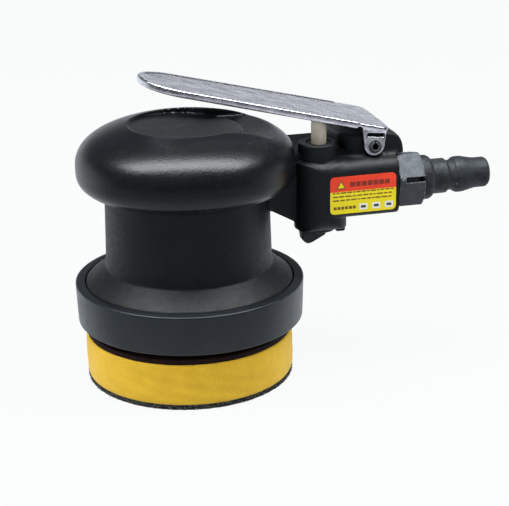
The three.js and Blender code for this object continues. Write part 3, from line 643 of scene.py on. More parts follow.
def oxide_paint(name, dark, light, worn, roughness=(0.38, 0.58)):
    """Blackened steel, rubbed bright along its edges."""
    p = Paint(name, metallic=0.5)
    tone = p.blend(p.span(p.noise(2.6, 5, 0.65), 0.32, 0.68), dark, light)
    scuff = p.blend(p.span(p.noise(0.9, 4, 0.7), 0.6, 0.72), tone, light)
    rub = p.sum(p.edges(), p.span(p.noise(0.8, 3), 0.3, 0.7, -0.03, 0.03))
    p.colour(p.blend(p.span(rub, 0.53, 0.6), scuff, worn))
    p.gloss(0.9, 4, *roughness)
    p.bump(p.noise(0.5, 3), 0.05)
    return p.material


def ivory_paint():
    p = Paint("stem_ivory", roughness=0.42)
    tone = p.patches(2.5, 3, 0.3, 0.7, rgb(172, 167, 154), rgb(192, 187, 175))
    # The stem's colour darkens towards its foot, over the last few millimetres above the guide.
    darker_at_foot = p.span(p.along("Z"), (BOSS_TOP + 0.2) * MM, (BOSS_TOP + 2.5) * MM, 0.45, 0.0)
    p.colour(p.blend(darker_at_foot, tone, rgb(150, 142, 126)))
    p.gloss(1.2, 2, 0.36, 0.5)
    p.bump(p.noise(0.5, 2, place=p.stretched(1, 1, 5)), 0.015)
    p.set("Subsurface Weight", 0.2)
    p.set("Subsurface Radius", (0.0015, 0.0012, 0.0008))
    p.set("Subsurface Scale", 1.0)
    return p.material


def soft_paint(name, dark, light, lump_mm, roughness=0.8):
    """Vanes, rubber rings and felt."""
    p = Paint(name, roughness=roughness)
    p.colour(p.patches(lump_mm, 4, 0.3, 0.7, dark, light))
    p.gloss(lump_mm, 2, roughness - 0.1, roughness + 0.05)
    p.bump(p.noise(lump_mm / 3, 3), 0.04)
    return p.material


def print_paint(name, low_colour, high_colour=None, split_z=None):
    """Printed film; split_z, in millimetres, parts it into a lower and an upper colour."""
    p = Paint(name, roughness=0.35)

    def faded(colour, share):
        return p.patches(5, 3, 0.3, 0.7, colour, tuple(c * share for c in colour[:3]) + (1,))
    tone = faded(low_colour, 0.93)
    if split_z is not None:
        edge = p.sum(p.along("Z"), split_z * MM, "GREATER_THAN")
        tone = p.blend(edge, tone, faded(high_colour, 0.9))
    p.colour(tone)
    p.gloss(1.5, 3, 0.3, 0.45)
    p.bump(p.noise(2.5, 2), 0.02)
    return p.material


def wear(obj, material):
    """Puts one material on every slot of an object."""
    if not obj.material_slots:
        obj.data.materials.append(material)
    for material_slot in obj.material_slots:
        material_slot.material = material


def place_piece(obj, material, body, slot, *nodes):
    """Material, body and the CAD nodes that a piece stands for; the slot argument is not used."""
    wear(obj, material)
    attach(obj, body)
    if nodes:
        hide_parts(*nodes)
    return obj


# ---- turned pieces ------------------------------------------------------
def make_shroud():
    """A ring that snaps into the foot's groove by an inner lip."""
    low, high = SHROUD_LOW[2], SHROUD_HIGH[2]
    inner, lip = FOOT_RADIUS + 0.2, FOOT_RADIUS - 1.1
    profile = rounded([
        (inner + 0.15, high, 0.35), (inner, 34.3, 0), (lip, 34.3, 0), (lip, 32.9, 0), (inner, 32.9, 0),
        (inner, FOOT_BOTTOM, 0), (SKIRT_BORE, FOOT_BOTTOM - 0.6), (SKIRT_BORE, low, 0.5),
        (SKIRT_LOW_RADIUS, low, 0.7), (SKIRT_HIGH_RADIUS, high, 0.75),
    ], 0.3, 6)
    return turned("skirt", profile, segments=192)


def make_foam():
    """Foam swells a little between the stiff plate and the hook layer, and its skin is uneven."""
    low, high = FOAM_LOW[2], FOAM_HIGH[2]
    radius = (FOAM_HIGH[0] - FOAM_LOW[0]) / 2
    side = [(radius - 0.25 * (2 * t - 1) ** 4, low + (high - low) * t)
            for t in np.linspace(0.03, 0.97, 14)]
    recess, floor = FOAM_RECESS_RADIUS, high - FOAM_RECESS_DEPTH
    profile = [(0, low), (radius - 0.6, low)] + side + [
        (radius - 0.6, high), (recess, high), (recess, floor), (0, floor)]

    def uneven(angle, r, z):
        if r < 30 or z < low + 0.1 or z > high - 0.1:
            return 0
        return 0.07 * math.sin(3 * angle + 0.4 * z) + 0.05 * math.sin(11 * angle + 1.3 * z) - 0.1
    return turned("foam", rounded(profile, 0.5), PAD_CENTRE, PAD_SEGMENTS, ripple=uneven)


def make_hook():
    """A disc of loop cloth with its cut edge fraying into short fibres."""
    random = np.random.default_rng(7)
    radius = (HOOK_HIGH[0] - HOOK_LOW[0]) / 2
    top = HOOK_HIGH[2]
    fray = random.uniform(-0.16, 0.05, PAD_SEGMENTS)

    def uneven(angle, r, z):
        nearest = int(round(angle / (2 * math.pi) * PAD_SEGMENTS)) % PAD_SEGMENTS
        return fray[nearest] if r > 30 else 0
    profile = rounded([(0, 0.15), (radius - 0.5, 0.15), (radius, 0.5), (radius, top), (0, top)], 0.25)
    disc = turned("hook_disc", profile, PAD_CENTRE, PAD_SEGMENTS, ripple=uneven)
    points = []
    faces = []
    for angle in random.uniform(0, 2 * math.pi, FIBRES):
        out = np.array([math.cos(angle), math.sin(angle), 0])
        side = np.array([-out[1], out[0], 0])
        root = out * (radius - 0.35) + (*PAD_CENTRE[:2], random.uniform(0.5, top - 0.3))
        reach = random.uniform(0.45, 0.95)
        tip = root + out * reach + side * random.uniform(-0.4, 0.4)
        tip[2] = max(0.1, tip[2] + random.uniform(-0.5, 0.25))
        first = len(points)
        thick = random.uniform(0.07, 0.14)
        for turn in (0, 2.1, 4.2):
            points.append(root + thick * (math.cos(turn) * side + math.sin(turn) * UPWARD))
        points.append(tip)
        faces += [(first, first + 1, first + 3), (first + 1, first + 2, first + 3),
                  (first + 2, first, first + 3), (first + 2, first + 1, first)]
    return disc, new_object("hook_fibres", points, faces)


def make_plate():
    """Stiff plate in the pad, with a shallow turned recess in its top."""
    radius = (PLATE_HIGH[0] - PLATE_LOW[0]) / 2
    low, high = PLATE_LOW[2], PLATE_HIGH[2]
    profile = rounded([(4.2, low), (radius, low), (radius, high), (radius - 3, high),
                       (radius - 4, high - 0.35, 0.2), (12, high - 0.35, 0.2), (11, high), (4.2, high)],
                      0.25)
    return turned("stiff_plate", profile, PAD_CENTRE, PAD_SEGMENTS)


def make_plug():
    """Quick plug: flange, shank, locking groove, collar and tapered nose with its bore."""
    left, right = PLUG_LOW[0], PLUG_HIGH[0]
    flange = HEX_HIGH[0]
    profile = rounded([
        (3.4, left), (5.4, left), (5.4, flange, 0), (8.5, flange, 0.3), (8.5, flange + 3.4, 0.6),
        (7.7, flange + 4.7, 0.5), (6.7, flange + 4.9), (6.7, right - 17.2, 0.4),
        (5.75, right - 16.3), (5.75, right - 14.5), (6.6, right - 13.5, 0.4),
        (6.9, right - 12.6, 0.6), (6.9, right - 10.4, 0.8), (5.75, right - 5.2, 1.4),
        (5.8, right - 1.0, 0.5), (5.1, right, 0.35), (4.2, right, 0.2), (3.4, right - 0.9, 0.3),
    ], 0.3, 5)
    return turned("air_plug", profile, (INLET_Y, INLET_Z), 96, axis="x")


def make_stem():
    """Valve stem: a thin tail under a round-topped rod."""
    low, top = STEM_LOW[2], STEM_HIGH[2]
    shoulder = low + 8
    radius = (STEM_HIGH[0] - STEM_LOW[0]) / 2
    profile = rounded([(0, low), (1.2, low), (1.2, shoulder), (radius, shoulder),
                       (radius, top - 0.35, 0.8), (2.3, top - 0.02, 0.5), (0, top)], 0.2, 6)
    return turned("stem", profile, (STEM_X, STEM_Y), 64)


def make_bushing():
    """The stem's guide, with a groove for its ring."""
    low, top = BUSH_LOW[2], BUSH_HIGH[2]
    bore = (STEM_HIGH[0] - STEM_LOW[0]) / 2 + 0.12
    groove = bore + 0.98
    profile = rounded([(bore, low), (6.1, low), (6.1, low + 1.8), (4.5, low + 1.8), (4.5, top, 0.25),
                       (bore + 0.5, top, 0.25), (bore + 0.1, top - 0.6, 0.2), (bore, top - 3),
                       (bore, top - 3.9), (groove, top - 3.9), (groove, top - 5), (bore, top - 5)], 0.1)
    return turned("stem_guide", profile, (STEM_X, STEM_Y), 64)


def make_pin():
    """A rolled spring pin: an open ring, swept along its length, with its ends eased."""
    half = (PIN_HIGH[1] - PIN_LOW[1]) / 2
    gap = math.radians(24)
    turns = np.linspace(math.radians(90) + gap / 2, math.radians(450) - gap / 2, 49)
    points = []
    stations = [(-half, 0.3), (-half + 0.5, 0), (half - 0.5, 0), (half, 0.3)]
    for along, ease in stations:
        for radius, sweep in ((PIN_OUTER - ease, turns), (PIN_INNER, turns[::-1])):
            for a in sweep:
                points.append((PIVOT_X + radius * math.cos(a), along, PIVOT_Z + radius * math.sin(a)))
    ring = 2 * len(turns)
    faces = ring_faces(len(stations), ring)
    for s in (0, len(stations) - 1):
        for j in range(len(turns) - 1):
            a, b = s * ring + j, s * ring + j + 1
            c, d = s * ring + ring - 2 - j, s * ring + ring - 1 - j
            faces.append((a, b, c, d) if s else (d, c, b, a))
    return face_out(new_object("spring_pin", points, faces))


def make_coil():
    """Valve spring: a wire wound with closed ends."""
    low, high = COIL_LOW[2] + COIL_WIRE, COIL_HIGH[2] - COIL_WIRE
    centre = (COIL_LOW[:2] + COIL_HIGH[:2]) / 2
    radius = (COIL_HIGH[0] - COIL_LOW[0]) / 2 - COIL_WIRE
    turns = np.linspace(0, COIL_TURNS, COIL_STEPS + 1)
    rise = np.clip((turns - COIL_FLAT_TURNS) / (COIL_TURNS - 2 * COIL_FLAT_TURNS), 0, 1)
    height = low + (high - low) * (rise + 0.04 * np.sin(2 * math.pi * rise))
    points = []
    for turn, z in zip(turns, height):
        a = 2 * math.pi * turn
        for b in 2 * math.pi * np.arange(COIL_SIDES) / COIL_SIDES:
            out = radius + COIL_WIRE * math.cos(b)
            points.append((centre[0] + out * math.cos(a), centre[1] + out * math.sin(a),
                           z + COIL_WIRE * math.sin(b)))
    ends = [tuple(range(COIL_SIDES)), tuple(range(len(points) - COIL_SIDES, len(points)))]
    return face_out(new_object("stem_spring", points, ends + ring_faces(len(turns), COIL_SIDES)))


def place_coil():
    """The spring rides on the housing, with a mesh of its own."""
    wound = metal_paint("spring_wire", rgb(104, 106, 110), rgb(160, 162, 166), (0.28, 0.45))
    coil = place_piece(make_coil(), wound, "housing", "steel", "valve_spring")
    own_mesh(coil)


# ---- cast body ----------------------------------------------------------
def egg(r, z, inset):
    """Distance to the head's outer form, drawn in by inset."""
    power = np.where(z > HEAD_EQUATOR_Z, HEAD_RISE_POWER, HEAD_DROP_POWER)
    tall = np.where(z > HEAD_EQUATOR_Z, HEAD_RISE, HEAD_DROP)
    u = np.maximum(r / HEAD_RADIUS, EPS)
    v = np.maximum(np.abs(z - HEAD_EQUATOR_Z) / tall, EPS)
    both = u ** power + v ** power
    level = both ** (1 / power)
    slope = level / both * np.hypot(u ** (power - 1) / HEAD_RADIUS, v ** (power - 1) / tall)
    return (level - 1) / np.maximum(slope, EPS) + inset


def corner_box(a, b, low_a, high_a, low_b, high_b, radii):
    """2-D box with its own corner radii: low-low, high-low, high-high, low-high."""
    x = a - (low_a + high_a) / 2
    y = b - (low_b + high_b) / 2
    r = np.where(y < 0, np.where(x < 0, radii[0], radii[1]), np.where(x < 0, radii[3], radii[2]))
    dx = between(a, low_a, high_a) + r
    dy = between(b, low_b, high_b) + r
    return np.minimum(np.maximum(dx, dy), 0) + np.hypot(np.maximum(dx, 0), np.maximum(dy, 0)) - r


def foot_field(r, z):
    """The flared foot: a cone over a short disc."""
    slope = (FOOT_RADIUS - FOOT_CONE_RADIUS) / (FOOT_CONE_Z - FOOT_SHELF_Z)
    cone = (r - FOOT_RADIUS + (z - FOOT_SHELF_Z) * slope) / math.hypot(1, slope)
    disc = smooth_max(r - FOOT_RADIUS, FOOT_BOTTOM - z, 0.3)
    return smooth_max(disc, cone, 0.7)


def housing_field(p):
    """Neck, foot and core, with the arm that holds the valve, inlet, lever block and silencer."""
    x, y, z = p
    r = np.hypot(x, y)
    taper = (NECK_HIGH_RADIUS - NECK_LOW_RADIUS) * (z - NECK_LOW_Z) / NECK_HEIGHT
    neck_radius = NECK_LOW_RADIUS + taper
    neck = limit(r - neck_radius, z, 32, 88, 0.5)
    body = smooth_min(neck, foot_field(r, z), 0.5)
    core = smooth_max(egg(r, z, CORE_INSET), z - CORE_TOP, 0.8)
    body = smooth_min(body, core, 0.8)
    web_side = outline(x, z, [(24, 67.3), (44, 56), (52, 56), (60, 61), (60, 86), (24, 86)], 1.2)
    web = limit(web_side, y, -13, 14.4, 1.6)
    near, far = STEM_Y - INLET_HALF, STEM_Y + INLET_HALF
    valve = cylinder(x - VALVE_X, y - STEM_Y, z, VALVE_RADIUS, 56, INLET_TOP, 0.5)
    valve = smooth_max(valve, corner_box(y, z, near, far, 56, INLET_TOP, (6, 6, 6, 5)), 0.7)
    boss = cylinder(x - BOSS_X, y - STEM_Y, z, BOSS_RADIUS, 70, BOSS_TOP, 0.45)
    inlet = corner_box(y, z, near, far, INLET_BOTTOM, INLET_TOP, (3.4, 3, 6, 5))
    inlet = limit(inlet, x, VALVE_X, INLET_END, 0.9)
    block_side = outline(x, z, [
        (BLOCK_LEFT, 66), (BLOCK_RIGHT, 66), (BLOCK_RIGHT, 84.5), (BLOCK_RIGHT - 0.7, 87.9),
        (BLOCK_RIGHT - 2.5, BLOCK_TOP - 1.1), (BLOCK_RIGHT - 6, BLOCK_TOP),
        (BLOCK_LEFT, BLOCK_TOP)], 0.9)
    plan = corner_box(x, y, BLOCK_LEFT, BLOCK_RIGHT + 1, -BLOCK_HALF, BLOCK_HALF, (8, 1, 1, 3))
    block = smooth_max(block_side, plan, 1.1)
    barrel = cylinder(y - MUFFLER_Y, z - MUFFLER_Z, x, MUFFLER_RADIUS, 50, BLOCK_RIGHT, 0.4)
    lug = slab(p, (54.6, STEM_Y - 2, 53.8), (58.2, STEM_Y + 2, 60), 0.6)
    arm = join(0.9, web, valve, lug)
    arm = join(0.8, arm, smooth_min(inlet, block, 3.2))
    arm = join(1.0, arm, barrel)
    arm = join(0.6, arm, boss)
    solid = smooth_min(body, arm, 1.2)
    from_stem = np.hypot(x - STEM_X, y - STEM_Y)
    from_inlet = np.hypot(y - INLET_Y, z - INLET_Z)
    from_muffler = np.hypot(y - MUFFLER_Y, z - MUFFLER_Z)
    from_pivot = np.hypot(x - PIVOT_X, z - PIVOT_Z)
    bores = [
        (r, 26, z, 42.5, 84, 0.1),             # motor
        (r, 27, z, 30, 42.5, 0.1),             # lock ring
        (r, 35.2, z, 20, 37, 0.3),             # counterweight
        (from_stem, 6.3, z, 50, 80, 0.2),      # valve
        (from_stem, 4.7, z, 79, 92, 0.3),      # stem guide
        (from_inlet, 7.5, x, 59, 80, 0.2),     # inlet thread
        (from_inlet, HEX_FIT, x, INLET_END, 96, 0.2),
        (from_muffler, 9.9, x, 57, 90, 0.2),   # silencer
    ]
    hollows = [limit(away - radius, along, low, high, k)
               for away, radius, along, low, high, k in bores]
    hollows += [
        from_pivot - PIN_BORE,
        slab(p, (62, BLOCK_HALF, 82.7), (77, 20, 100), 0.3),              # far ear
        limit(from_pivot - EAR_ROUND - 0.5, y, -20, -BLOCK_HALF, 0.2),    # near ear
        limit(between(r, 38.6, 45), z, 32.6, 34.6, 0.2),                  # skirt's groove
    ]
    return carve(0.35, solid, *hollows)


def make_housing():
    return netted("cast_body", housing_field, HOUSING_LOW - 1, HOUSING_HIGH + 1, BODY_STEP)


def grip_field(p):
    """The rubber head: its outer form less the dish, the lever channel and the casting's space."""
    x, y, z = p
    r = np.hypot(x, y)
    outer = egg(r, z, 0)
    slope = (DISH_LOW - DISH_HIGH) / (2 * DISH_RADIUS)
    floor = DISH_HIGH + (x + DISH_RADIUS) * slope + 0.25 * (1 - (r / DISH_RADIUS) ** 2)
    dish = smooth_max(r - DISH_RADIUS, floor - z, 0.35)
    channel = smooth_max(smooth_max(np.abs(y) - CHANNEL_HALF, -x, 0.5), CHANNEL_FLOOR - z, 1.0)
    channel = smooth_max(channel, DISH_RADIUS - r, 0.6)
    scoop = smooth_min(dish, channel, 0.3)
    outer = smooth_max(outer, -scoop, 0.5)
    crease = np.hypot(z - CREASE_Z, egg(r, z, 0)) - 0.16
    outer = smooth_max(outer, -crease, 0.15)
    neck = r - NECK_HIGH_RADIUS - 0.15
    core = smooth_max(egg(r, z, GRIP_INSET), z - CORE_TOP - 0.1, 0.8)
    web = smooth_max(outline(x, z, [(24, 50), (62, 50), (62, 86.3), (24, 86.3)], 0.5),
                     between(y, -13.3, 14.7), 0.5)
    valve = np.hypot(x - VALVE_X, y - STEM_Y) - VALVE_RADIUS - 0.3
    shell = smooth_max(outer, -smooth_min(smooth_max(neck, z - 82, 0.3), core, 0.5), 0.5)
    return carve(0.5, shell, web, valve)


def make_grip():
    return netted("grip_cover", grip_field, GRIP_LOW - 1, GRIP_HIGH + 1, BODY_STEP)


def hex_field(p):
    """Hexagon and its stub, with eased corners, a slot across two of them and a stepped bore."""
    x, y, z = p
    a, b = y - INLET_Y, z - INLET_Z
    side = None
    for i in range(6):
        turn = HEX_TURN + math.pi / 6 + i * math.pi / 3
        flat = a * math.cos(turn) + b * math.sin(turn) - HEX_CORNER * math.cos(math.pi / 6)
        side = flat if side is None else smooth_max(side, flat, 0.5)
    r = np.hypot(a, b)
    low, high = INLET_END, HEX_HIGH[0]
    nut = limit(side, x, low, high, 0.35)
    for end, way in ((low, -1), (high, 1)):
        ease = (r - (HEX_CORNER - 1.3) + way * (x - end) * 1.5) / 1.8
        nut = smooth_max(nut, ease, 0.35)
    stub = cylinder(a, b, x, STUB_RADIUS, STUB_START, low + 1, 0.3)
    solid = smooth_min(nut, stub, 0.2)
    ca, cb = math.cos(HEX_TURN + math.pi), math.sin(HEX_TURN + math.pi)
    out = a * ca + b * cb
    across = -a * cb + b * ca
    slot = smooth_max(between(across, -HEX_SLOT_HALF, HEX_SLOT_HALF),
                      between(x, high - HEX_SLOT_LENGTH, high + 2), 0.2)
    slot = smooth_max(slot, HEX_CORNER - HEX_SLOT_DEPTH - np.abs(out), 0.3)
    narrow = smooth_max(r - STUB_BORE, x - high + 6, 0.1)
    wide = smooth_max(r - MOUTH_BORE, high - 8 - x, 0.1)
    bore = smooth_min(narrow, wide, 0.1)
    return carve(0.3, solid, slot, bore)


def make_hex():
    return netted("inlet_hexagon", hex_field, HEX_LOW - 1, HEX_HIGH + 1, SMALL_STEP)


def cap_field(p):
    """Exhaust cover: a shallow dome with five slots, cut back round the hexagon."""
    x, y, z = p
    a, b = y - MUFFLER_Y, z - MUFFLER_Z
    r = np.hypot(a, b)
    low = CAP_LOW[0]
    wall = smooth_max(r - MUFFLER_RADIUS, low - x, 0.4)
    dome = np.hypot(x - low + CAP_DOME_BACK, r) - CAP_DOME_RADIUS
    dome = smooth_max(dome, x - low - CAP_RISE, 0.3)
    solid = smooth_max(wall, dome, 1.2)
    slots = [smooth_max(limit(between(b, v - 0.65, v + 0.65), a, -5.6, 5.6, 0.5),
                        low - 2 - x, 0.1) for v in CAP_SLOTS]
    clear = np.hypot(y - INLET_Y, z - INLET_Z) - HEX_FIT
    return carve(0.3, solid, *slots, clear)


def make_cap():
    return netted("exhaust_cover", cap_field, CAP_LOW - 1, CAP_HIGH + 1, SMALL_STEP)


def regulator_field(p):
    """Speed regulator: a disc with a ring groove, and the fin that turns it."""
    x, y, z = p
    low = REGULATOR_LOW[2]
    a, b = x - STEM_X, y - STEM_Y
    disc = cylinder(a, b, z, 6, 55.2, 59, 0.3)
    groove = smooth_max(between(z, 56.8, 58), 5.1 - np.hypot(a, b), 0.1)
    fin_side = outline(a, z, [(-6.9, low + 1.2), (-5.3, low), (-3.7, low + 0.15), (2.0, low + 3.1),
                              (1.8, low + 5.6), (-7.5, low + 5.6)], 0.4)
    fin = smooth_max(fin_side, np.abs(b) - 2.6, 0.6)
    return carve(0.2, smooth_min(disc, fin, 0.4), groove)


def make_regulator():
    return netted("regulator_fin", regulator_field, REGULATOR_LOW - 1, REGULATOR_HIGH + 1, SMALL_STEP)


# ---- lever, drawn flat and then tilted ----------------------------------
def lever_place(u, v, w):
    """From the lever's own place (from its rear edge, across, above its face) to the frame."""
    return (LEVER_REAR_X - u * LEVER_COS + w * LEVER_SIN, -v,
            LEVER_REAR_Z + u * LEVER_SIN + w * LEVER_COS)


def lever_own(x, z):
    """From the frame to the lever's own place."""
    dx, dz = LEVER_REAR_X - x, z - LEVER_REAR_Z
    return dx * LEVER_COS + dz * LEVER_SIN, -dx * LEVER_SIN + dz * LEVER_COS


def touch(centre, radius, point, side):
    """Where the line from point touches the circle, on one side (1 or -1)."""
    dx, dy = point[0] - centre[0], point[1] - centre[1]
    turn = math.atan2(dy, dx) + side * math.acos(radius / math.hypot(dx, dy))
    return centre[0] + radius * math.cos(turn), centre[1] + radius * math.sin(turn)


def lever_plan(u, v, inset):
    """Distance to the outline seen from above: tapering sides, round tip, soft corners, bowed rear."""
    tip = LEVER_LENGTH - LEVER_TIP_RADIUS
    share = np.clip((u - LEVER_CORNER) / (tip - LEVER_CORNER), 0, 1)
    half = LEVER_REAR_HALF + (LEVER_TIP_RADIUS - LEVER_REAR_HALF) * share - inset
    rear = inset - LEVER_BOW * (1 - (np.abs(v) / half) ** 2)
    side = smooth_max(np.abs(v) - half, rear - u, LEVER_CORNER - inset)
    return np.where(u > tip, np.hypot(u - tip, v) - half, side)


def lever_field(p):
    """Pressed lever: its sheet, a rim folded down round it, and two ears with slot and pin hole."""
    u, v, w = p
    plan = lever_plan(u, v, 0)
    sheet = limit(plan, w, -SHEET, 0, 0.7)
    rim = smooth_max(np.maximum(plan, -lever_plan(u, v, SHEET)), between(w, -RIM_DEPTH, 0), 0.7)
    rim = smooth_max(rim, EAR_END + 1.5 - u, 0.6)
    pu, pw = lever_own(PIVOT_X - 0.2, PIVOT_Z + 0.2)
    left, right = (EAR_START - 1.24, -0.7), (EAR_END, -0.7)
    low_left = touch((pu, pw), EAR_ROUND, left, 1)
    low_right = touch((pu, pw), EAR_ROUND, right, -1)
    plate = outline(u, w, [left, low_left, low_right, right], 0.1)
    plate = smooth_min(plate, np.hypot(u - pu, w - pw) - EAR_ROUND, 0.3)
    ears = limit(plate, np.abs(v), EAR_OUTSIDE - SHEET, EAR_OUTSIDE, 0.5)
    solid = join(0.9, sheet, rim, ears)
    su, sw = lever_own(EAR_SLOT_X, EAR_SLOT_Z)
    level, drop = math.cos(EAR_SLOT_TILT), math.sin(EAR_SLOT_TILT)
    du, dw = u - su, w - sw
    along = np.clip(du * level - dw * drop, -EAR_SLOT_HALF, EAR_SLOT_HALF)
    slot = np.hypot(du - along * level, dw + along * drop) - EAR_SLOT_RADIUS
    pin_u, pin_w = lever_own(PIVOT_X, PIVOT_Z)
    hole = np.hypot(u - pin_u, w - pin_w) - PIN_BORE
    between_ears = EAR_INSIDE - np.abs(v)
    return carve(0.35, solid, np.maximum(slot, between_ears), np.maximum(hole, between_ears))


def make_lever():
    points, faces = surface_net(lever_field, (-1.5, -LEVER_REAR_HALF - 1, -13),
                                (LEVER_LENGTH + 1, LEVER_REAR_HALF + 1, 1), SMALL_STEP)
    return new_object("throttle_lever", np.stack(lever_place(*points.T), 1), faces)


# ---- label --------------------------------------------------------------
def round_corners(low_x, high_x, low_z, high_z, radius, steps=6):
    """Anticlockwise outline of a rectangle with round corners."""
    points = []
    for cx, cz, start in ((high_x - radius, low_z + radius, -90), (high_x - radius, high_z - radius, 0),
                          (low_x + radius, high_z - radius, 90), (low_x + radius, low_z + radius, 180)):
        for i in range(steps + 1):
            a = math.radians(start + 90 * i / steps)
            points.append((cx + radius * math.cos(a), cz + radius * math.sin(a)))
    return points


def plates(name, outlines, front, back):
    """Flat plates standing in the XZ plane, from y = front back to y = back."""
    points = []
    faces = []
    for shape in outlines:
        first = len(points)
        n = len(shape)
        points += [(x, front, z) for x, z in shape] + [(x, back, z) for x, z in shape]
        faces.append(tuple(range(first, first + n)))
        faces.append(tuple(range(first + 2 * n - 1, first + n - 1, -1)))
        for i in range(n):
            j = (i + 1) % n
            faces.append((first + i, first + n + i, first + n + j, first + j))
    return new_object(name, points, faces, smooth=False)


def make_label():
    """A generic sticker: plain blocks and bars where a real one has its print."""
    low_x, high_x, low_z, high_z = LABEL_LOW[0], LABEL_HIGH[0], LABEL_LOW[2], LABEL_HIGH[2]
    wide, tall = high_x - low_x, high_z - low_z
    front, back = LABEL_LOW[1] + 0.03, LABEL_HIGH[1] + 0.05
    base = plates("sticker", [round_corners(low_x, high_x, low_z, high_z, 1.6)], front, back)

    def bar(x0, x1, z0, z1, radius=0.12):
        return round_corners(low_x + x0 * wide, low_x + x1 * wide, low_z + z0 * tall,
                             low_z + z1 * tall, radius, 2)

    def triangle(middle_x, middle_z, size):
        cx, cz = low_x + middle_x * wide, low_z + middle_z * tall
        return [(cx - size, cz - size * 0.8), (cx + size, cz - size * 0.8), (cx, cz + size)]
    border = [triangle(0.165, 0.775, 1.9)]
    title = [bar(x, x + 0.074, 0.715, 0.845) for x in 0.3 + 0.088 * np.arange(7)]
    random = np.random.default_rng(3)
    lines = []
    for z in (0.55, 0.45, 0.35):
        x = 0.04
        while x < 0.93:
            length = random.uniform(0.03, 0.1)
            lines.append(bar(x, min(x + length, 0.96), z, z + 0.038, 0.08))
            x += length + 0.016
    lines += [bar(x, x + 0.046, 0.12, 0.2, 0.1) for x in 0.05 + 0.058 * np.arange(6)]
    pale = [bar(x, x + 0.125, 0.07, 0.24, 0.3) for x in (0.44, 0.635, 0.83)]
    marks = [bar(x, x + 0.075, 0.12, 0.19, 0.1) for x in (0.465, 0.66, 0.855)]
    step = 0.012
    printed, above = (front - step, front + step), (front - 2 * step, front)
    return [
        base,
        plates("sticker_ink", border + lines, *printed),
        plates("sticker_heading", title, *printed),
        plates("sticker_patches", pale, *printed),
        plates("sticker_marks", marks, *above),
        plates("sticker_triangle", [triangle(0.165, 0.77, 1.25)], *above),
    ]


def place_label():
    base, *prints = make_label()
    red, yellow = rgb(226, 64, 38), rgb(226, 208, 30)
    split = LABEL_LOW[2] + 0.6 * (LABEL_HIGH[2] - LABEL_LOW[2])
    place_piece(base, print_paint("sticker_film", yellow, red, split), "housing", "label", "label")
    inks = (("ink_brown", rgb(112, 84, 34)), ("ink_heading", rgb(128, 44, 32)),
            ("ink_pale", rgb(222, 226, 214)), ("ink_mark", rgb(66, 66, 60)), ("ink_yellow", yellow))
    for piece, (name, colour) in zip(prints, inks):
        place_piece(piece, print_paint(name, colour), "housing", "label")


# ---- camera, floor and light --------------------------------------------
def make_camera():
    """The photograph's viewpoint: turned 14 degrees to the object's left and looking down 20."""
    turn = Matrix.Rotation(math.radians(-VIEW_TURN), 3, "Z")
    up_angle = math.radians(VIEW_DOWN)
    back = Vector((0, -math.cos(up_angle), math.sin(up_angle)))
    right = Vector((1, 0, 0))
    up = back.cross(right)
    roll = math.radians(VIEW_ROLL)
    across = math.cos(roll) * right + math.sin(roll) * up
    upward = -math.sin(roll) * right + math.cos(roll) * up
    place = (Vector((0, 0, VIEW_AIM_Z)) + across * VIEW_SIDE + upward * VIEW_LIFT + back * VIEW_FAR) * MM
    axes = [turn @ axis for axis in (across, upward, back)]
    data = bpy.data.cameras.new("photo_camera")
    data.lens = VIEW_LENS
    data.clip_end = 20
    camera = bpy.data.objects.new("photo_camera", data)
    bpy.context.scene.collection.objects.link(camera)
    camera.matrix_world = Matrix.Translation(turn @ place) @ Matrix(axes).transposed().to_4x4()
    bpy.context.scene.camera = camera


def make_floor():
    """A white floor and a wall round it, seen but casting no light: the sky stands in for both."""
    size = FLOOR_HALF
    corners = [(-size, -size, 0), (size, -size, 0), (size, size, 0), (-size, size, 0)]
    floor = new_object("floor", corners, [(0, 1, 2, 3)], False)
    p = Paint("floor_white", roughness=0.9, specular=0.0)
    tone = FLOOR_TONE
    p.colour(p.blend(p.noise(400, 2), (tone, tone, tone, 1), (tone * 1.1, tone * 1.1, tone * 1.1, 1)))
    p.set("Emission Color", (0.985, 1.0, 0.995, 1))
    p.set("Emission Strength", FLOOR_GLOW)
    sides = WALL_SIDES
    turns = [2 * math.pi * i / sides for i in range(sides)]
    ring = [(WALL_RADIUS * math.cos(a), WALL_RADIUS * math.sin(a)) for a in turns]
    points = [(x, y, -1) for x, y in ring] + [(x, y, WALL_HEIGHT) for x, y in ring]
    panels = [(i, (i + 1) % sides, sides + (i + 1) % sides, sides + i) for i in range(sides)]
    wall = new_object("backdrop", points, panels)
    for stage in (floor, wall):
        wear(stage, p.material)
        stage.visible_diffuse = False
        stage.visible_glossy = False
        stage.visible_shadow = False


def soft_light(name, place, aim, size, power, tint=(1, 1, 1), mirrored=True):
    """A flat lamp aimed at a point; mirrored lamps show in reflections."""
    data = bpy.data.lights.new(name, "AREA")
    data.shape = "RECTANGLE"
    data.size, data.size_y = size
    data.energy = power
    data.color = tint
    light = bpy.data.objects.new(name, data)
    light.location = place
    light.visible_glossy = mirrored
    light.rotation_euler = (Vector(aim) - Vector(place)).to_track_quat("-Z", "Y").to_euler()
    bpy.context.scene.collection.objects.link(light)


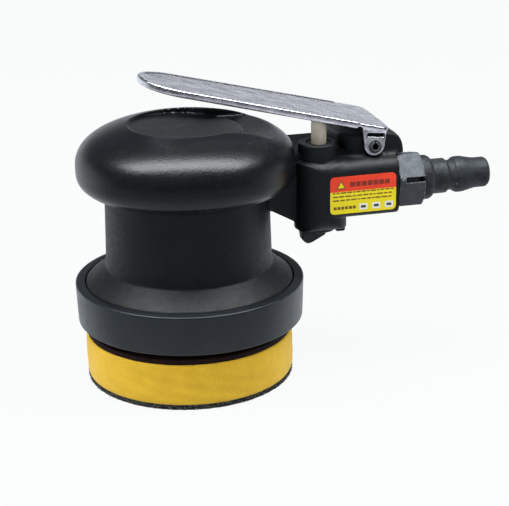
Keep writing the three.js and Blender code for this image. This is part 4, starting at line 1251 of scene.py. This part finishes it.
def make_sky():
    """Pale behind, at the sides and below; a dark room in front and overhead."""
    world = bpy.data.worlds.new("studio")
    bpy.context.scene.world = world
    world.use_nodes = True
    sky = Nodes(world.node_tree)
    direction = sky.add("ShaderNodeSeparateXYZ")
    sky.feed(direction.inputs[0], sky.add("ShaderNodeTexCoord").outputs["Generated"])
    turn = math.radians(VIEW_TURN)
    back = sky.sum(sky.sum(direction.outputs["X"], math.sin(turn), "MULTIPLY"),
                   sky.sum(direction.outputs["Y"], math.cos(turn), "MULTIPLY"))
    rear = sky.span(back, -0.35, 0.35)
    rear = sky.sum(rear, sky.span(direction.outputs["Z"], 0.02, 0.3, BACK_GLOW, 0.04), "MULTIPLY")
    ground = sky.span(direction.outputs["Z"], -0.6, -0.1, GROUND_GLOW, 0.0)
    glow = sky.sum(sky.sum(rear, ground, "MAXIMUM"), ROOM_GLOW, "MAXIMUM")
    backdrop = sky.tree.nodes["Background"]
    backdrop.inputs["Color"].default_value = (0.89, 0.95, 1.0, 1)
    sky.feed(backdrop.inputs["Strength"], glow)


def make_lights():
    """One lamp overhead and one at each side, placed in metres."""
    aim = (0.015, 0, 0.06)
    soft_light("top_box", (0.0, -0.08, 0.95), aim, (1.62, 0.4), 26.0, (0.95, 0.98, 1.0))
    soft_light("left_box", (-0.85, -0.35, 0.3), aim, (0.55, 0.6), 7.4, mirrored=False)
    soft_light("right_box", (0.75, -0.62, 0.34), aim, (0.5, 0.6), 6.0, mirrored=False)


# ---- putting it together ------------------------------------------------
INSIDE_SLOTS = {
    "spindle": "iron", "cylinder_liner": "iron", "front_end_plate": "iron", "rear_end_plate": "iron",
    "valve_seat": "brass", "valve_cup": "brass", "inlet_screen": "brass",
    "stem_o_ring": "rubber", "regulator_o_ring": "rubber", "valve_disc": "rubber",
    "muffler_insert": "felt", **{f"vane_{i}": "vane" for i in range(1, 6)},
}


def dress_inside():
    """Materials for the CAD nodes that stay as they are, inside."""
    paints = {
        "steel": metal_paint("ground_steel", rgb(120, 122, 126), rgb(176, 178, 182), (0.22, 0.42)),
        "iron": metal_paint("cast_iron", rgb(78, 79, 82), rgb(112, 113, 116), (0.45, 0.65), 0.6, 0.05),
        "brass": metal_paint("turned_brass", rgb(150, 120, 66), rgb(190, 158, 96), (0.28, 0.45)),
        "rubber": soft_paint("ring_rubber", rgb(22, 22, 23), rgb(36, 36, 38), 0.8, 0.6),
        "vane": soft_paint("vane_resin", rgb(74, 46, 28), rgb(104, 68, 42), 0.6, 0.65),
        "felt": soft_paint("exhaust_felt", rgb(120, 116, 110), rgb(160, 156, 148), 0.5, 0.95),
    }
    for name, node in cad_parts.items():
        if not node.hide_render:
            wear(node, paints[INSIDE_SLOTS.get(name, "steel")])


def build():
    make_camera()
    make_floor()
    make_sky()
    make_lights()
    bpy.context.scene.view_settings.view_transform = "Standard"
    cast = housing_paint()
    place_piece(make_housing(), cast, "housing", "housing", "housing")
    place_piece(make_grip(), grip_paint(), "housing", "rubber", "rubber_grip")
    place_piece(make_shroud(), shroud_paint(), "housing", "shroud", "shroud")
    foam = place_piece(make_foam(), foam_paint(), "pad", "foam", "foam_pad")
    hook = hook_paint()
    hook_disc, hook_fibres = make_hook()
    place_piece(hook_disc, hook, "pad", "hook", "hook_layer")
    place_piece(hook_fibres, hook, "pad", "hook")
    place_piece(make_plate(), plate_paint(), "pad", "fibre", "backing_plate")
    blued = oxide_paint("hexagon_oxide", rgb(54, 57, 62), rgb(74, 78, 83), rgb(176, 179, 184))
    black = oxide_paint("plug_oxide", rgb(32, 35, 38), rgb(54, 58, 62), rgb(96, 100, 104), (0.45, 0.65))
    place_piece(make_hex(), blued, "housing", "oxide", "inlet_bushing")
    place_piece(make_plug(), black, "housing", "oxide", "quick_plug")
    place_piece(make_cap(), cast, "housing", "housing", "exhaust_cap")
    place_piece(make_regulator(), black, "regulator", "oxide", "regulator")
    place_piece(make_stem(), ivory_paint(), "valve_stem", "ivory", "valve_stem")
    place_piece(make_bushing(), black, "housing", "oxide", "valve_bushing")
    place_piece(make_lever(), chrome_paint(), "lever", "chrome", "lever")
    place_piece(make_pin(), black, "housing", "steel", "lever_pin")
    place_coil()
    place_label()
    dress_inside()


build()
